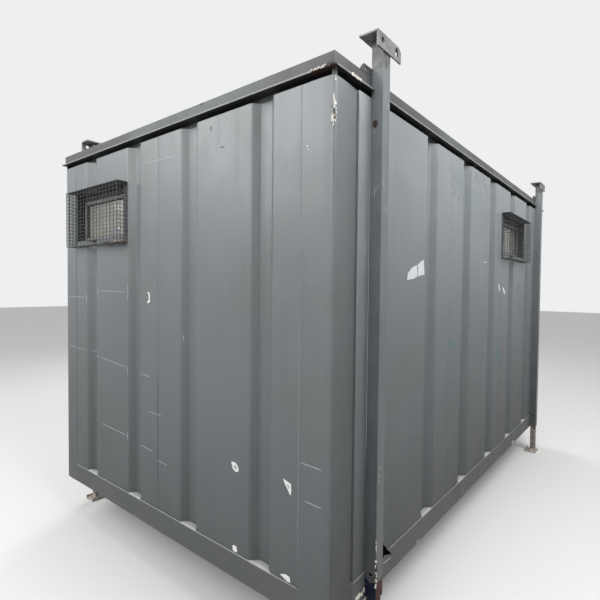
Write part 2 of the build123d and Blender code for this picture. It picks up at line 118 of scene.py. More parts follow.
class Shader:
    """A material under construction, with short calls for the nodes it needs."""

    def __init__(self, name, world=False):
        self.material = (bpy.data.worlds if world else bpy.data.materials).new(name)
        self.material.use_nodes = True
        self.tree = self.material.node_tree
        self.tree.nodes.clear()
        self.coords = None

    def node(self, kind, inputs=None, **props):
        made = self.tree.nodes.new(f"ShaderNode{kind}")
        for key, value in props.items():
            setattr(made, key, value)
        for key, value in (inputs or {}).items():
            self.plug(value, made.inputs[key])
        return made

    def plug(self, value, socket):
        if isinstance(value, bpy.types.NodeSocket):
            self.tree.links.new(value, socket)
        else:
            socket.default_value = value

    def place(self):
        if self.coords is None:
            self.coords = self.node("TexCoord").outputs["Object"]
        return self.coords

    def noise(self, scale, detail=4, rough=0.55, stretch=None, shift=(0, 0, 0)):
        vector = self.place()
        if stretch or any(shift):
            vector = self.node(
                "Mapping", {"Vector": vector, "Scale": stretch or (1, 1, 1), "Location": shift}
            ).outputs[0]
        return self.node(
            "TexNoise", {"Vector": vector, "Scale": scale, "Detail": detail, "Roughness": rough}
        ).outputs["Fac"]

    def cells(self, scale, output):
        return self.node("TexVoronoi", {"Vector": self.place(), "Scale": scale}).outputs[output]

    def math(self, operation, a, b=0.0, clamp=False):
        made = self.node("Math", operation=operation, use_clamp=clamp)
        for socket, value in zip(made.inputs, (a, b)):
            self.plug(value, socket)
        return made.outputs[0]

    def times(self, a, b):
        return self.math("MULTIPLY", a, b)

    def plus(self, a, b, clamp=False):
        return self.math("ADD", a, b, clamp)

    def most(self, a, b, clamp=False):
        return self.math("MAXIMUM", a, b, clamp)

    def vector(self, operation, *values, output=0):
        return self.node("VectorMath", dict(enumerate(values)), operation=operation).outputs[output]

    def span(self, value, low, high, out_low=0.0, out_high=1.0):
        """Value carried from one range to another, clamped, and eased where the new one is 0 to 1."""
        return self.node(
            "MapRange",
            {"Value": value, "From Min": low, "From Max": high, "To Min": out_low, "To Max": out_high},
            interpolation_type="SMOOTHSTEP" if (out_low, out_high) == (0.0, 1.0) else "LINEAR",
        ).outputs["Result"]

    def mix(self, factor, a, b, share=1.0, blend="MIX"):
        """Colour a turned into b by the factor, or by a share of it."""
        made = self.node("Mix", data_type="RGBA", blend_type=blend)
        self.plug(factor if share == 1.0 else self.times(factor, share), made.inputs[0])
        for socket, value in ((made.inputs[6], a), (made.inputs[7], b)):
            self.plug((*value, 1.0) if isinstance(value, tuple) else value, socket)
        return made.outputs[2]

    def part(self, vector, name):
        return self.node("SeparateXYZ", {0: vector}).outputs[name]

    def axis(self, name):
        return self.part(self.place(), name)

    def normal(self):
        return self.node("NewGeometry").outputs["Normal"]

    def edge(self, radius):
        """Edges of the sheet: where the rounded normal leaves the flat one."""
        bent = self.node("Bevel", {"Radius": radius}, samples=BEVEL_SAMPLES).outputs[0]
        return self.span(self.vector("DOT_PRODUCT", bent, self.normal(), output="Value"), 0.97, 0.80)

    def tone(self, height, *patterns):
        """Brightness that grows from foot to head, painted shade at the foot and a painted sky sheen at the head,
        broken up by (pattern, spread) pairs of random tone.
        """
        tone = self.span(height, *LIGHT_GRADE_HEIGHTS, FOOT_PAINTED_SHADE, HEAD_PAINTED_SHEEN)
        for pattern, spread in patterns:
            tone = self.times(tone, self.span(pattern, 0.3, 0.7, 1 - spread, 1 + spread))
        return tone

    def toned(self, colour, tone):
        grey = self.node("CombineColor", {0: tone, 1: tone, 2: tone}).outputs[0]
        return self.mix(1.0, colour, grey, blend="MULTIPLY")

    def rust(self):
        return self.mix(self.span(self.noise(60, 5, 0.7), 0.35, 0.65), RUST_DARK, RUST)

    def eat(self, colour, bloom, spots, *how):
        """Dark ragged patches of scale round points, given as (centre, radii)."""
        for centre, radii in spots:
            eaten = self.spot(centre, radii, *how)
            colour = self.mix(eaten, colour, self.mix(self.noise(70, 5, 0.7), SCALE_DARK, RUST_DARK))
            bloom = self.most(bloom, eaten)
        return colour, bloom

    def spot(self, centre, radii, ragged=0.35, grain=22):
        """A soft-edged ragged patch round a point."""
        near = self.vector("DIVIDE", self.vector("SUBTRACT", self.place(), centre), radii)
        far = self.vector("LENGTH", near, output="Value")
        rough = self.times(self.math("SUBTRACT", self.noise(grain, 5, 0.7), 0.5), 4 * ragged)
        return self.span(self.plus(far, rough), 1.15, 0.75)

    def surface(self, base, rough, normal=None, metallic=0.0, specular=0.5, **more):
        inputs = {"Base Color": base, "Roughness": rough, "Metallic": metallic, "Specular IOR Level": specular}
        if normal is not None:
            inputs["Normal"] = normal
        shader = self.node("BsdfPrincipled", {**inputs, **more})
        self.node("OutputMaterial", {"Surface": shader.outputs[0]})
        return self.material

    def bump(self, heights, distance, radius=0.0):
        """Bump from a weighted list of heights, over edges rounded by the given radius."""
        parts = [self.times(height, weight) for weight, height in heights]
        total = parts[0]
        for part in parts[1:]:
            total = self.plus(total, part)
        inputs = {"Height": total, "Distance": distance, "Strength": 1.0}
        if radius:
            inputs["Normal"] = self.node("Bevel", {"Radius": radius}, samples=BEVEL_SAMPLES).outputs[0]
        return self.node("Bump", inputs).outputs[0]

    def seen(self):
        """1 for rays that show the surroundings, 0 for those that light the object."""
        path = self.node("LightPath").outputs
        return self.most(path["Is Camera Ray"], self.most(path["Is Glossy Ray"], path["Is Transmission Ray"]))


# ---- Materials ----

def painted_steel(name, base=PAINT, rust=0.25, chips=0.25, dirt=0.5, spots=(), gloss=0.34, bands=(),
                  long_side_painted_light=None, shine=0.7):
    """Brushed-on grey paint over steel: mottled, streaked, worn on its edges, with painted shade in its corners, on
    faces turned down and at its foot, and painted highlights on its head and edges.

    Each band is (low, high, colour): a stretch of height given that colour; on the sole it is a painted highlight along
    the top fold.
    The two long_side_painted_light values scale the tone at the foot and head of faces on the long walls, as painted
    shade and painted sky sheen on that side.
    """
    s = Shader(name)
    mid = s.noise(5.5, 6, 0.62)
    streak = s.noise(1.0, 6, 0.6, stretch=(17, 17, 0.55))
    height = s.axis("Z")
    # Painted light: the tone is graded with height, painted shade at the foot and a painted sky sheen at the head
    tone = s.tone(height, (s.noise(0.75, 3), 0.06), (mid, 0.05), (streak, 0.05))
    # Painted light on one side: faces turned to the long walls get their own painted shade at the foot and painted
    # sheen at the head
    if long_side_painted_light:
        facing = s.span(s.math("ABSOLUTE", s.part(s.normal(), "Y")), 0.75, 0.95)
        change = s.math("SUBTRACT", s.span(height, *LIGHT_GRADE_HEIGHTS, *long_side_painted_light), 1.0)
        tone = s.times(tone, s.plus(1.0, s.times(facing, change)))
    colour = s.mix(s.span(s.noise(1.3, 4, shift=(7, 3, 5)), 0.48, 0.68), base, PAINT_GREEN, 0.6)
    colour = s.mix(s.span(mid, 0.60, 0.80), colour, PAINT_LIGHT, 0.25)
    # Bands of height given their own colour; the sole's is a painted highlight on its top fold
    for low, high, band_colour in bands:
        inside = s.times(s.span(height, low - 0.002, low), s.span(height, high + 0.002, high))
        patchy = s.span(s.noise(24, 5, 0.7, shift=(9, 2, 7)), 0.30, 0.50, 0.55, 0.95)
        colour = s.mix(s.times(inside, patchy), colour, band_colour)
    colour = s.toned(colour, tone)
    # Painted shade: near-black in corners and crevices by occlusion and on faces turned down; mud splashes up from the
    # ground
    open_air = s.node("AmbientOcclusion", {"Distance": 0.09}, samples=6).outputs["AO"]
    under = s.span(s.part(s.normal(), "Z"), -0.35, -0.75)
    painted_shade = s.most(s.times(s.span(open_air, 0.48, 0.12), 0.8), under, clamp=True)
    colour = s.mix(painted_shade, colour, PAINTED_SHADE_BLACK)
    splash = s.times(s.span(height, 0.75, 0.28), s.span(s.noise(26, 5, 0.7), 0.50, 0.72))
    grime = s.times(splash, 0.45 * dirt)
    colour = s.mix(grime, colour, MUD)
    edge = s.edge(EDGE_RADIUS * 1.6)
    worn = s.times(edge, s.span(s.noise(14, 5, 0.72, shift=(2, 9, 4)), 0.60 - 0.18 * chips, 0.66))
    # Painted highlight: every edge is lightened, as if its rounded bend caught the light
    colour = s.mix(edge, colour, PAINT_LIGHT, 0.30)
    colour = s.mix(worn, colour, PRIMER, chips)
    # Rust pricks through in small blooms, and along the edges
    bloom = s.span(s.noise(9, 7, 0.75, shift=(5, 1, 8)), 0.735 - 0.06 * rust, 0.80 - 0.04 * rust)
    bloom = s.most(bloom, s.times(worn, s.span(s.noise(5, 4, shift=(1, 6, 2)), 0.52, 0.60)))
    bloom = s.times(bloom, min(1.0, 1.6 * rust))
    colour, bloom = s.eat(s.mix(bloom, colour, s.rust()), bloom, spots)
    rough = s.plus(s.span(height, 0.70, 2.30, gloss + 0.30, gloss), s.times(s.span(mid, 0.3, 0.75), 0.14))
    rough = s.plus(rough, s.times(s.span(streak, 0.45, 0.75), 0.10))
    rough = s.plus(rough, s.times(s.most(grime, bloom), 0.35), clamp=True)
    heights = [(0.10, s.noise(150, 2)), (0.28, s.noise(70, 3)), (0.5, mid), (0.25, streak), (0.7, bloom)]
    return s.surface(colour, rough, s.bump(heights, 0.0009, EDGE_RADIUS), specular=shine)


def galvanised(name):
    """Old zinc: pale crystals, white bloom and a few rusty runs."""
    s = Shader(name)
    cell = s.node("SeparateColor", {0: s.cells(90, "Color")}).outputs[0]
    mid = s.noise(13, 6, 0.65)
    colour = s.mix(cell, ZINC, ZINC_PALE, 0.30)
    colour = s.mix(s.span(mid, 0.42, 0.72), colour, (0.105, 0.110, 0.112))
    bloom = s.span(s.noise(17, 7, 0.75, shift=(3, 3, 1)), 0.60, 0.72)
    colour = s.mix(bloom, colour, (0.27, 0.275, 0.27), 0.55)
    runs = s.span(s.noise(8, 7, 0.7, shift=(6, 2, 9)), 0.60, 0.72)
    colour = s.mix(runs, colour, s.mix(mid, RUST_DARK, RUST), 0.75)
    normal = s.bump([(0.5, mid), (0.5, s.noise(120, 3)), (0.6, bloom)], 0.0006, 0.002)
    return s.surface(colour, s.span(mid, 0.3, 0.7, 0.42, 0.62), normal, metallic=0.35)


def sleeve_steel(name, bare_low=0.0, spots=()):
    """Sleeve paint: bare zinc at its head, and paint lost from its foot where bare_low says."""
    s = Shader(name)
    mid = s.noise(7, 6, 0.65)
    streak = s.noise(1.0, 6, 0.6, stretch=(40, 40, 1.1))
    height = s.axis("Z")
    level = s.plus(height, s.times(s.math("SUBTRACT", s.noise(30, 6, 0.75), 0.5), 0.22))
    # Painted light: the tone is graded with height, painted shade at the foot and a painted sky sheen at the head
    colour = s.toned(PAINT, s.tone(height, (mid, 0.10), (streak, 0.08)))
    zinc = s.mix(s.span(s.noise(26, 6, 0.7), 0.38, 0.66), (0.065, 0.068, 0.070), (0.165, 0.170, 0.170))
    colour = s.mix(s.span(level, 2.90, 2.93), colour, zinc)
    patches = s.times(s.span(s.noise(11, 7, 0.75, shift=(4, 4, 4)), 0.60, 0.66), s.span(height, 1.7, 2.7))
    colour = s.mix(patches, colour, (0.34, 0.35, 0.35), 0.6)
    edge = s.edge(0.006)
    chipped = s.times(edge, s.span(s.noise(24, 6, 0.75, shift=(8, 2, 1)), 0.57, 0.62))
    # Painted highlight: every edge is lightened, as if its rounded bend caught the light
    colour = s.mix(edge, colour, PAINT_LIGHT, 0.25)
    colour = s.mix(s.times(chipped, s.plus(0.25, s.span(height, 0.85, 0.50))), colour, PRIMER)
    bloom = s.span(s.noise(12, 7, 0.75, shift=(5, 1, 8)), 0.68, 0.76)
    bloom = s.times(bloom, s.span(height, 2.0, 2.9, 0.3, 0.9))
    colour, bloom = s.eat(s.mix(bloom, colour, s.rust()), bloom, spots, 0.25, 60)
    shine = 0.5
    if bare_low:
        bare = s.span(level, bare_low + 0.02, bare_low - 0.02)
        shine = s.span(bare, 0.0, 1.0, 0.5, 0.1)
        # Below bare_low the left face is near-black blue and the front red-brown
        left = s.span(s.axis("X"), SLEEVE_LEFT + 0.004, SLEEVE_LEFT + 0.002)
        colour = s.mix(bare, colour, s.mix(left, s.mix(mid, *OLD_RED), (0.003, 0.006, 0.016)))
    rough = s.plus(s.span(mid, 0.3, 0.7, 0.34, 0.50), s.times(bloom, 0.3))
    normal = s.bump([(0.5, mid), (0.3, s.noise(110, 3)), (0.4, streak), (0.8, bloom)], 0.0008, 0.004)
    return s.surface(colour, rough, normal, specular=shine)


def leg_steel(name, painted=False):
    """Wet bare leg: dull zinc gone brown, or near-black blue on its left face and red-brown on its front."""
    s = Shader(name)
    mid = s.noise(16, 6, 0.7)
    fine = s.noise(90, 4)
    if painted:
        left = s.span(s.axis("X"), SLEEVE_LEFT + 0.0085, SLEEVE_LEFT + 0.0070)
        blue = s.mix(s.span(mid, 0.45, 0.70), (0.002, 0.004, 0.011), (0.008, 0.022, 0.048))
        colour = s.mix(left, s.mix(mid, (0.016, 0.005, 0.005), (0.075, 0.017, 0.014)), blue)
        flecks = s.span(s.noise(34, 6, 0.75, shift=(1, 8, 3)), 0.64, 0.70)
        colour = s.mix(flecks, colour, (0.30, 0.24, 0.22), 0.6)
    else:
        zinc = s.mix(s.span(fine, 0.35, 0.65), (0.16, 0.15, 0.14), (0.30, 0.28, 0.26))
        brown = s.mix(mid, RUST_DARK, (0.13, 0.05, 0.03))
        colour = s.mix(s.span(s.noise(9, 6, 0.7, shift=(3, 1, 4)), 0.42, 0.60), zinc, brown)
    plate = s.mix(s.span(mid, 0.35, 0.65), (0.48, 0.44, 0.40), (0.22, 0.19, 0.165))
    colour = s.mix(s.span(s.axis("Z"), 0.040, 0.028), colour, plate)
    normal = s.bump([(0.7, mid), (0.5, fine)], 0.0012, 0.0025)
    return s.surface(colour, s.span(mid, 0.3, 0.7, 0.45, 0.70), normal, specular=0.15 if painted else 0.5)


def guard_paint(name):
    """Dark paint on wire, with rust freckles and green dirt along its foot."""
    s = Shader(name)
    mid = s.noise(30, 6, 0.7)
    colour = s.mix(s.span(mid, 0.35, 0.7), (0.018, 0.020, 0.022), (0.065, 0.068, 0.070))
    colour = s.mix(s.span(s.noise(22, 6, 0.75, shift=(4, 4, 2)), 0.64, 0.70), colour, RUST, 0.6)
    low = s.times(s.span(s.axis("Z"), 2.21, 2.14), s.span(s.noise(45, 5, 0.7), 0.45, 0.60))
    colour = s.mix(low, colour, (0.11, 0.115, 0.075), 0.5)
    normal = s.bump([(0.6, mid), (0.4, s.noise(200, 3))], 0.0006)
    return s.surface(colour, s.span(mid, 0.3, 0.7, 0.40, 0.62), normal)


def frame_plastic(name):
    """Grey plastic frame with dirty runs."""
    s = Shader(name)
    mid = s.noise(12, 6, 0.65)
    run = s.noise(1.0, 6, 0.6, stretch=(60, 60, 3))
    colour = s.mix(s.span(mid, 0.35, 0.7), (0.225, 0.230, 0.232), (0.165, 0.170, 0.170))
    colour = s.mix(s.span(run, 0.52, 0.72), colour, (0.10, 0.10, 0.09), 0.5)
    normal = s.bump([(0.4, mid), (0.3, s.noise(150, 3))], 0.0005, 0.002)
    return s.surface(colour, s.span(mid, 0.3, 0.7, 0.38, 0.55), normal)


def obscured_pane(name):
    """Obscured pane: creamy, dimpled, grimy at its foot, with faint vertical folds of a blind behind and a painted
    glare.
    """
    s = Shader(name)
    blind = s.noise(1.0, 2, 0.5, stretch=(34, 34, 0.5))
    colour = s.mix(s.span(s.noise(9, 5, 0.6), 0.3, 0.7), (0.290, 0.285, 0.245), (0.205, 0.205, 0.175))
    colour = s.mix(s.span(blind, 0.35, 0.65), colour, (0.34, 0.335, 0.30), 0.5)
    low = s.times(s.span(s.axis("Z"), 2.27, 2.20), s.span(s.noise(20, 6, 0.7), 0.35, 0.65))
    colour = s.mix(low, colour, (0.12, 0.118, 0.09), 0.5)
    # Painted reflection: a pale glare patch on the near pane
    glare = s.spot((-HALF_X + 0.069, -HALF_Y + 1.96, 2.44), (0.03, 0.13, 0.05), 0.15, 30)
    colour = s.mix(glare, colour, (0.62, 0.60, 0.59), 0.55)
    normal = s.bump([(1.0, s.cells(210, "Distance"))], 0.0010)
    return s.surface(colour, 0.22, normal, **{"Coat Weight": 0.5, "Coat Roughness": 0.08})


def panel(name, light, dark, scale=4.0, stretch=None):
    """Plain board or sheet with slight mottling and scuffs."""
    s = Shader(name)
    mid = s.noise(scale, 6, 0.6, stretch=stretch)
    fine = s.noise(scale * 14, 4, 0.6, stretch=stretch)
    colour = s.mix(s.span(mid, 0.32, 0.68), light, dark)
    colour = s.mix(s.span(fine, 0.45, 0.7), colour, dark, 0.35)
    normal = s.bump([(0.6, mid), (0.5, fine)], 0.0006, 0.0015)
    return s.surface(colour, s.span(fine, 0.3, 0.7, 0.5, 0.7), normal)


def scrap_paper(name, light, dark, scale):
    """Two mottled colours on paper, a flake or a rub."""
    s = Shader(name)
    mid = s.noise(scale, 5, 0.7)
    colour = s.mix(s.span(mid, 0.35, 0.70), light, dark)
    return s.surface(colour, 0.62, s.bump([(1.0, mid)], 0.0004))


def deep_shade(name):
    """Painted shade: near-black for a hollow that no light reaches."""
    s = Shader(name)
    colour = s.mix(s.noise(60, 4), (0.002, 0.002, 0.002), (0.006, 0.005, 0.004))
    return s.surface(colour, 0.9, specular=0.0)


CORNER_RUST = [
    ((-HALF_X - 0.016, -HALF_Y + 0.012, LIP_TOP - 0.006), (0.03, 0.034, 0.017)),
    ((-HALF_X - 0.012, -HALF_Y + 0.085, LIP_LOW), (0.04, 0.045, 0.006)),
    ((-HALF_X, -HALF_Y + 0.94, ROOF_TOP - 0.005), (0.03, 0.010, 0.010)),
]
SLEEVE_RUST = [((SLEEVE_LEFT, -HALF_Y - 0.024, 2.650), (0.004, 0.016, 0.020))]
LIP_BAND = (LIP_LOW - 0.003, LIP_TOP + 0.001, (0.205, 0.21, 0.21))
# The sole's pale band is a painted highlight on its rounded top fold
SOLE_HIGHLIGHT_BAND = (SOLE_TOP - 0.009, SOLE_TOP + 0.01, (0.72, 0.73, 0.73))
M = {
    "wall": painted_steel("wall_paint", rust=0.06, chips=0.10, dirt=0.35, long_side_painted_light=(0.72, 1.42)),
    "post": painted_steel("post_paint", rust=0.06, chips=0.18, dirt=0.35, long_side_painted_light=(0.55, 0.95)),
    "rail": painted_steel("rail_paint", (0.062, 0.062, 0.064), chips=0.40, gloss=0.45, shine=0.35,
                          spots=CORNER_RUST, bands=[LIP_BAND]),
    "sole": painted_steel("sole_paint", (0.120, 0.128, 0.128), rust=0.12, bands=[SOLE_HIGHLIGHT_BAND]),
    "roof": painted_steel("roof_paint", (0.150, 0.155, 0.155), rust=0.5, chips=0.2, dirt=0.9, gloss=0.45),
    "under": painted_steel("underframe_paint", (0.035, 0.036, 0.038), rust=1.0, chips=0.4, dirt=0.9, gloss=0.55),
    "door": painted_steel("door_paint", (0.122, 0.133, 0.141), rust=0.15, chips=0.5, dirt=0.6),
    "bead": painted_steel("weld_paint", rust=0.06, chips=0.10),
    # The reveal is near-black: its own dark dirty steel, and painted shade in the recess round the window
    "reveal": painted_steel("reveal_paint", (0.030, 0.032, 0.034), rust=0.1, chips=0.1),
    "rubber": panel("gasket_rubber", (0.012, 0.012, 0.013), (0.020, 0.020, 0.020), 20.0),
    "window_grey": panel("weathered_plastic", (0.105, 0.108, 0.112), (0.070, 0.072, 0.075), 14.0),
    "lining": panel("lining_board", (0.62, 0.61, 0.57), (0.52, 0.51, 0.47)),
    "ply": panel("deck_ply", (0.30, 0.20, 0.12), (0.20, 0.13, 0.075), 2.0, stretch=(1, 9, 1)),
    "zinc": galvanised("old_zinc"),
    "sleeve": sleeve_steel("sleeve_paint"),
    "near_sleeve": sleeve_steel("near_sleeve_paint", bare_low=0.385, spots=SLEEVE_RUST),
    "leg": leg_steel("leg_steel"),
    "near_leg": leg_steel("near_leg_steel", painted=True),
    "guard": guard_paint("guard_paint"),
    "window": frame_plastic("window_frame"),
    "pane": obscured_pane("obscured_pane"),
    "shade": deep_shade("deep_shade"),
}
for key, name, light, dark, scale in (
    ("paper", "label_scrap", (0.80, 0.80, 0.78), (0.60, 0.61, 0.60), 60),
    ("pale_label", "torn_label", (0.62, 0.65, 0.68), (0.46, 0.49, 0.52), 60),
    ("dim_label", "dim_label", (0.26, 0.30, 0.33), (0.10, 0.13, 0.16), 300),
    ("beige", "dry_leaf", (0.42, 0.34, 0.27), (0.20, 0.15, 0.11), 90),
    ("flake", "paint_flake", (0.70, 0.68, 0.60), (0.42, 0.38, 0.30), 200),
    ("dark_flake", "dark_flake", (0.012, 0.011, 0.010), (0.035, 0.026, 0.022), 200),
    ("rust_flake", "rust_flake", (0.22, 0.13, 0.085), (0.10, 0.055, 0.035), 200),
    ("rub", "rubbed_paint", (0.42, 0.43, 0.44), (0.28, 0.29, 0.30), 200),
    ("faint_rub", "faint_rub", (0.235, 0.248, 0.256), (0.185, 0.196, 0.202), 120),
    ("dark_rub", "dark_rub", (0.040, 0.044, 0.046), (0.065, 0.070, 0.072), 200),
    ("teal", "teal_smear", (0.035, 0.17, 0.135), (0.075, 0.15, 0.135), 120),
):
    M[key] = scrap_paper(name, light, dark, scale)


# ---- Mesh helpers ----

def finish_mesh(name, bm, material, smooth=True, weighted=True, replaces=()):
    """Turn a bmesh into a named piece that rides on the cabin."""
    mesh = bpy.data.meshes.new(name)
    bm.to_mesh(mesh)
    bm.free()
    made = bpy.data.objects.new(name, mesh)
    bpy.context.scene.collection.objects.link(made)
    mesh.materials.append(M[material])
    if smooth:
        mesh.shade_smooth()
        if weighted:
            even_normals(made)
    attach(made, "cabin")
    if replaces:
        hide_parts(*replaces)
    return made


def even_normals(piece):
    piece.modifiers.new("even_normals", "WEIGHTED_NORMAL").weight = 100


def thicken(piece):
    """Give a skin the thickness of the sheet, behind its face."""
    thick = piece.modifiers.new("thickness", "SOLIDIFY")
    thick.thickness = SHEET
    thick.offset = -1
    even_normals(piece)


def loft(bm, rims, closed=False):
    """Skin over matching rims of vertices, capped at its ends or closed on itself."""
    faces = []
    for a, b in zip(rims, rims[1:] + rims[:1] if closed else rims[1:]):
        for i in range(len(a)):
            j = (i + 1) % len(a)
            faces.append(bm.faces.new((a[i], a[j], b[j], b[i])))
    if not closed:
        faces += [bm.faces.new(rims[0]), bm.faces.new(rims[-1][::-1])]
    bmesh.ops.recalc_face_normals(bm, faces=faces)


def prism(bm, rims):
    """Closed solid between two matching rims of points."""
    loft(bm, [[bm.verts.new(p) for p in rim] for rim in rims])


def upright(bm, side, outline, levels):
    """Prism over an outline of (along, depth) points of a wall, between two heights."""
    prism(bm, [[place(side, s, deep, z) for s, deep in outline] for z in levels])


def slab(bm, side, alongs, depths, levels):
    """Box given by its spans along a wall, behind its face and in height."""
    (a, b), (c, d) = alongs, depths
    upright(bm, side, [(a, c), (b, c), (b, d), (a, d)], levels)


def rounded(points, radius, steps=4, closed=False):
    """Polyline with each corner turned into a short curve; radius is one value or one per corner."""
    points = [Vector(p) for p in points]
    count = len(points)
    out = [] if closed else [points[0]]
    for i in range(count) if closed else range(1, count - 1):
        corner = points[i]
        back, on = points[i - 1] - corner, points[(i + 1) % count] - corner
        wanted = radius[i] if isinstance(radius, list) else radius
        cut = min(wanted, 0.45 * back.length, 0.45 * on.length)
        p = corner + back.normalized() * cut
        q = corner + on.normalized() * cut
        for n in range(steps + 1):
            t = n / steps
            out.append((1 - t) ** 2 * p + 2 * t * (1 - t) * corner + t * t * q)
    return out if closed else out + [points[-1]]


def subdivide(points, step):
    out = [points[0]]
    for a, b in zip(points, points[1:]):
        parts = max(1, math.ceil((b - a).length / step))
        out += [a.lerp(b, n / parts) for n in range(1, parts + 1)]
    return out


def ramp(value, width):
    return max(0.0, min(1.0, value / width))


# Dents in each wall: (along, height, reach, depth)
DENTS = {
    "left": [(0.705, 2.355, 0.035, 0.004), (0.698, 2.290, 0.030, 0.004), (0.735, 2.325, 0.02, 0.003),
             (0.850, 2.600, 0.030, 0.003), (1.62, 2.55, 0.03, 0.003), (1.18, 1.52, 0.05, 0.003)],
    "front": [(1.42, 2.57, 0.07, 0.004), (1.96, 2.66, 0.10, 0.004), (0.62, 2.30, 0.08, 0.003),
              (1.95, 1.50, 0.12, 0.003), (0.70, 0.72, 0.10, 0.003)],
    "back": [(3.1, 0.9, 0.10, 0.004), (2.2, 1.4, 0.14, 0.003)],
    "right": [(0.9, 1.1, 0.12, 0.004), (1.7, 0.8, 0.09, 0.004)],
}


def waviness(side, along, z):
    """How far the sheet departs from flat at a point, in metres, inward positive."""
    seed = SEED[side]
    fade = ramp(z - SOLE_TOP, 0.12) * ramp(WALL_TOP - z, 0.12)
    fade *= ramp(along - POST_END, 0.05) * ramp(RUN[side] - POST_END - along, 0.05)
    wave = 0.0014 * noise.noise(Vector((along * 1.6, z * 0.8, seed)))
    wave += 0.0006 * noise.noise(Vector((along * 5.0, z * 3.5, seed + 9)))
    for s, h, reach, deep in DENTS[side]:
        far = math.hypot(along - s, z - h) / reach
        if far < 2.5:
            wave += deep * math.exp(-far * far * 1.5)
    return wave * fade


def sheet_profile(side):
    """Corrugated line of a wall sheet as (along, depth) points with rounded folds and a seam."""
    fold = ((0, 0), (GROOVE_SLOPE, GROOVE_DEPTH), (GROOVE_WIDTH - GROOVE_SLOPE, GROOVE_DEPTH), (GROOVE_WIDTH, 0))
    corners = [(along + x, deep) for along in GROOVES[side] for x, deep in fold]
    line = rounded([(POST[side], 0), *corners, (RUN[side] - POST[side], 0)], 0.010, 3)
    for seam in SEAMS[side]:
        cut = [Vector((seam + x, deep)) for x, deep in ((-0.004, 0), (-0.002, 0.003), (0.0005, 0.003), (0.001, 0))]
        spot = next(n for n, p in enumerate(line) if p.x > seam)
        line[spot:spot] = cut
    return subdivide(line, 0.085)


PROFILES = {side: sheet_profile(side) for side in RUN}


def depth_at(side, along):
    """Depth of the folded line behind the wall's face, sheet or post."""
    line = PROFILES[side]
    for a, b in zip(line, line[1:]):
        if a.x <= along <= b.x and b.x > a.x:
            return a.y + (b.y - a.y) * (along - a.x) / (b.x - a.x)
    if along < POST_LONG and side in LONG:
        return POST_DISH * ramp(along - POST_FLAT, POST_LONG - POST_FLAT)
    return 0.0


def surface_at(side, along, z):
    return depth_at(side, along) + (waviness(side, along, z) if z > SOLE_TOP else 0.0)


def with_stops(values, stops, clear=0.004):
    """Sorted values with the stops put in and any near neighbour taken out."""
    return sorted([v for v in values if all(abs(v - stop) > clear for stop in stops)] + list(stops))


# Torn gap in the foot of the front wall and its sole bar, as (along, height) points
GAP = [(0.440, 0.480), (0.476, 0.480), (0.575, 0.373), (0.498, 0.407), (0.440, 0.390)]
GAP_START = GAP[0][0]
SHOULDER, GAP_TOP = GAP[1]
GAP_FOOT = SHOULDER + (GAP[2][0] - SHOULDER) * (GAP_TOP - SOLE_TOP) / (GAP_TOP - GAP[2][1])


def cut_gap(piece, reach):
    """Cut the torn gap out of a piece's mesh."""
    bm = bmesh.new()
    prism(bm, [[place("front", s, deep, z) for s, z in GAP] for deep in (-reach, reach)])
    mesh = bpy.data.meshes.new("cutter")
    bm.to_mesh(mesh)
    bm.free()
    cutter = bpy.data.objects.new("cutter", mesh)
    bpy.context.scene.collection.objects.link(cutter)
    cut = piece.modifiers.new("cut", "BOOLEAN")
    cut.operation = "DIFFERENCE"
    cut.object = cutter
    kept = [m for m in piece.modifiers if m != cut]
    for modifier in kept:
        modifier.show_viewport = False
    shown = piece.evaluated_get(bpy.context.evaluated_depsgraph_get())
    result = bpy.data.meshes.new_from_object(shown)
    for modifier in kept:
        modifier.show_viewport = True
    piece.modifiers.remove(cut)
    piece.data = result
    bpy.data.objects.remove(cutter)


def wall_box(side, node):
    """A node's box as (along from, along to, low, high) on a wall."""
    low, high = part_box(node)
    if side in LONG:
        return (low.x + HALF_X, high.x + HALF_X, low.z, high.z)
    return (low.y + HALF_Y, high.y + HALF_Y, low.z, high.z)


def hole_of(side):
    """Opening in a wall sheet, read from the frame of its window or door, which reaches the sole."""
    if side != "back":
        return wall_box(side, f"window_frame_{side}")
    start, end, _, high = wall_box(side, "door_frame")
    return (start, end, SOLE_TOP - 0.01, high)


# ---- Walls, posts, rails and soles ----

WALL_ROWS, POST_ROWS = 30, 28
POST_CREASE, POST_LEAN = 0.052, 0.005
POST_FLAT, POST_DISH = 0.080, 0.012
SHEET_RETURN = 0.020


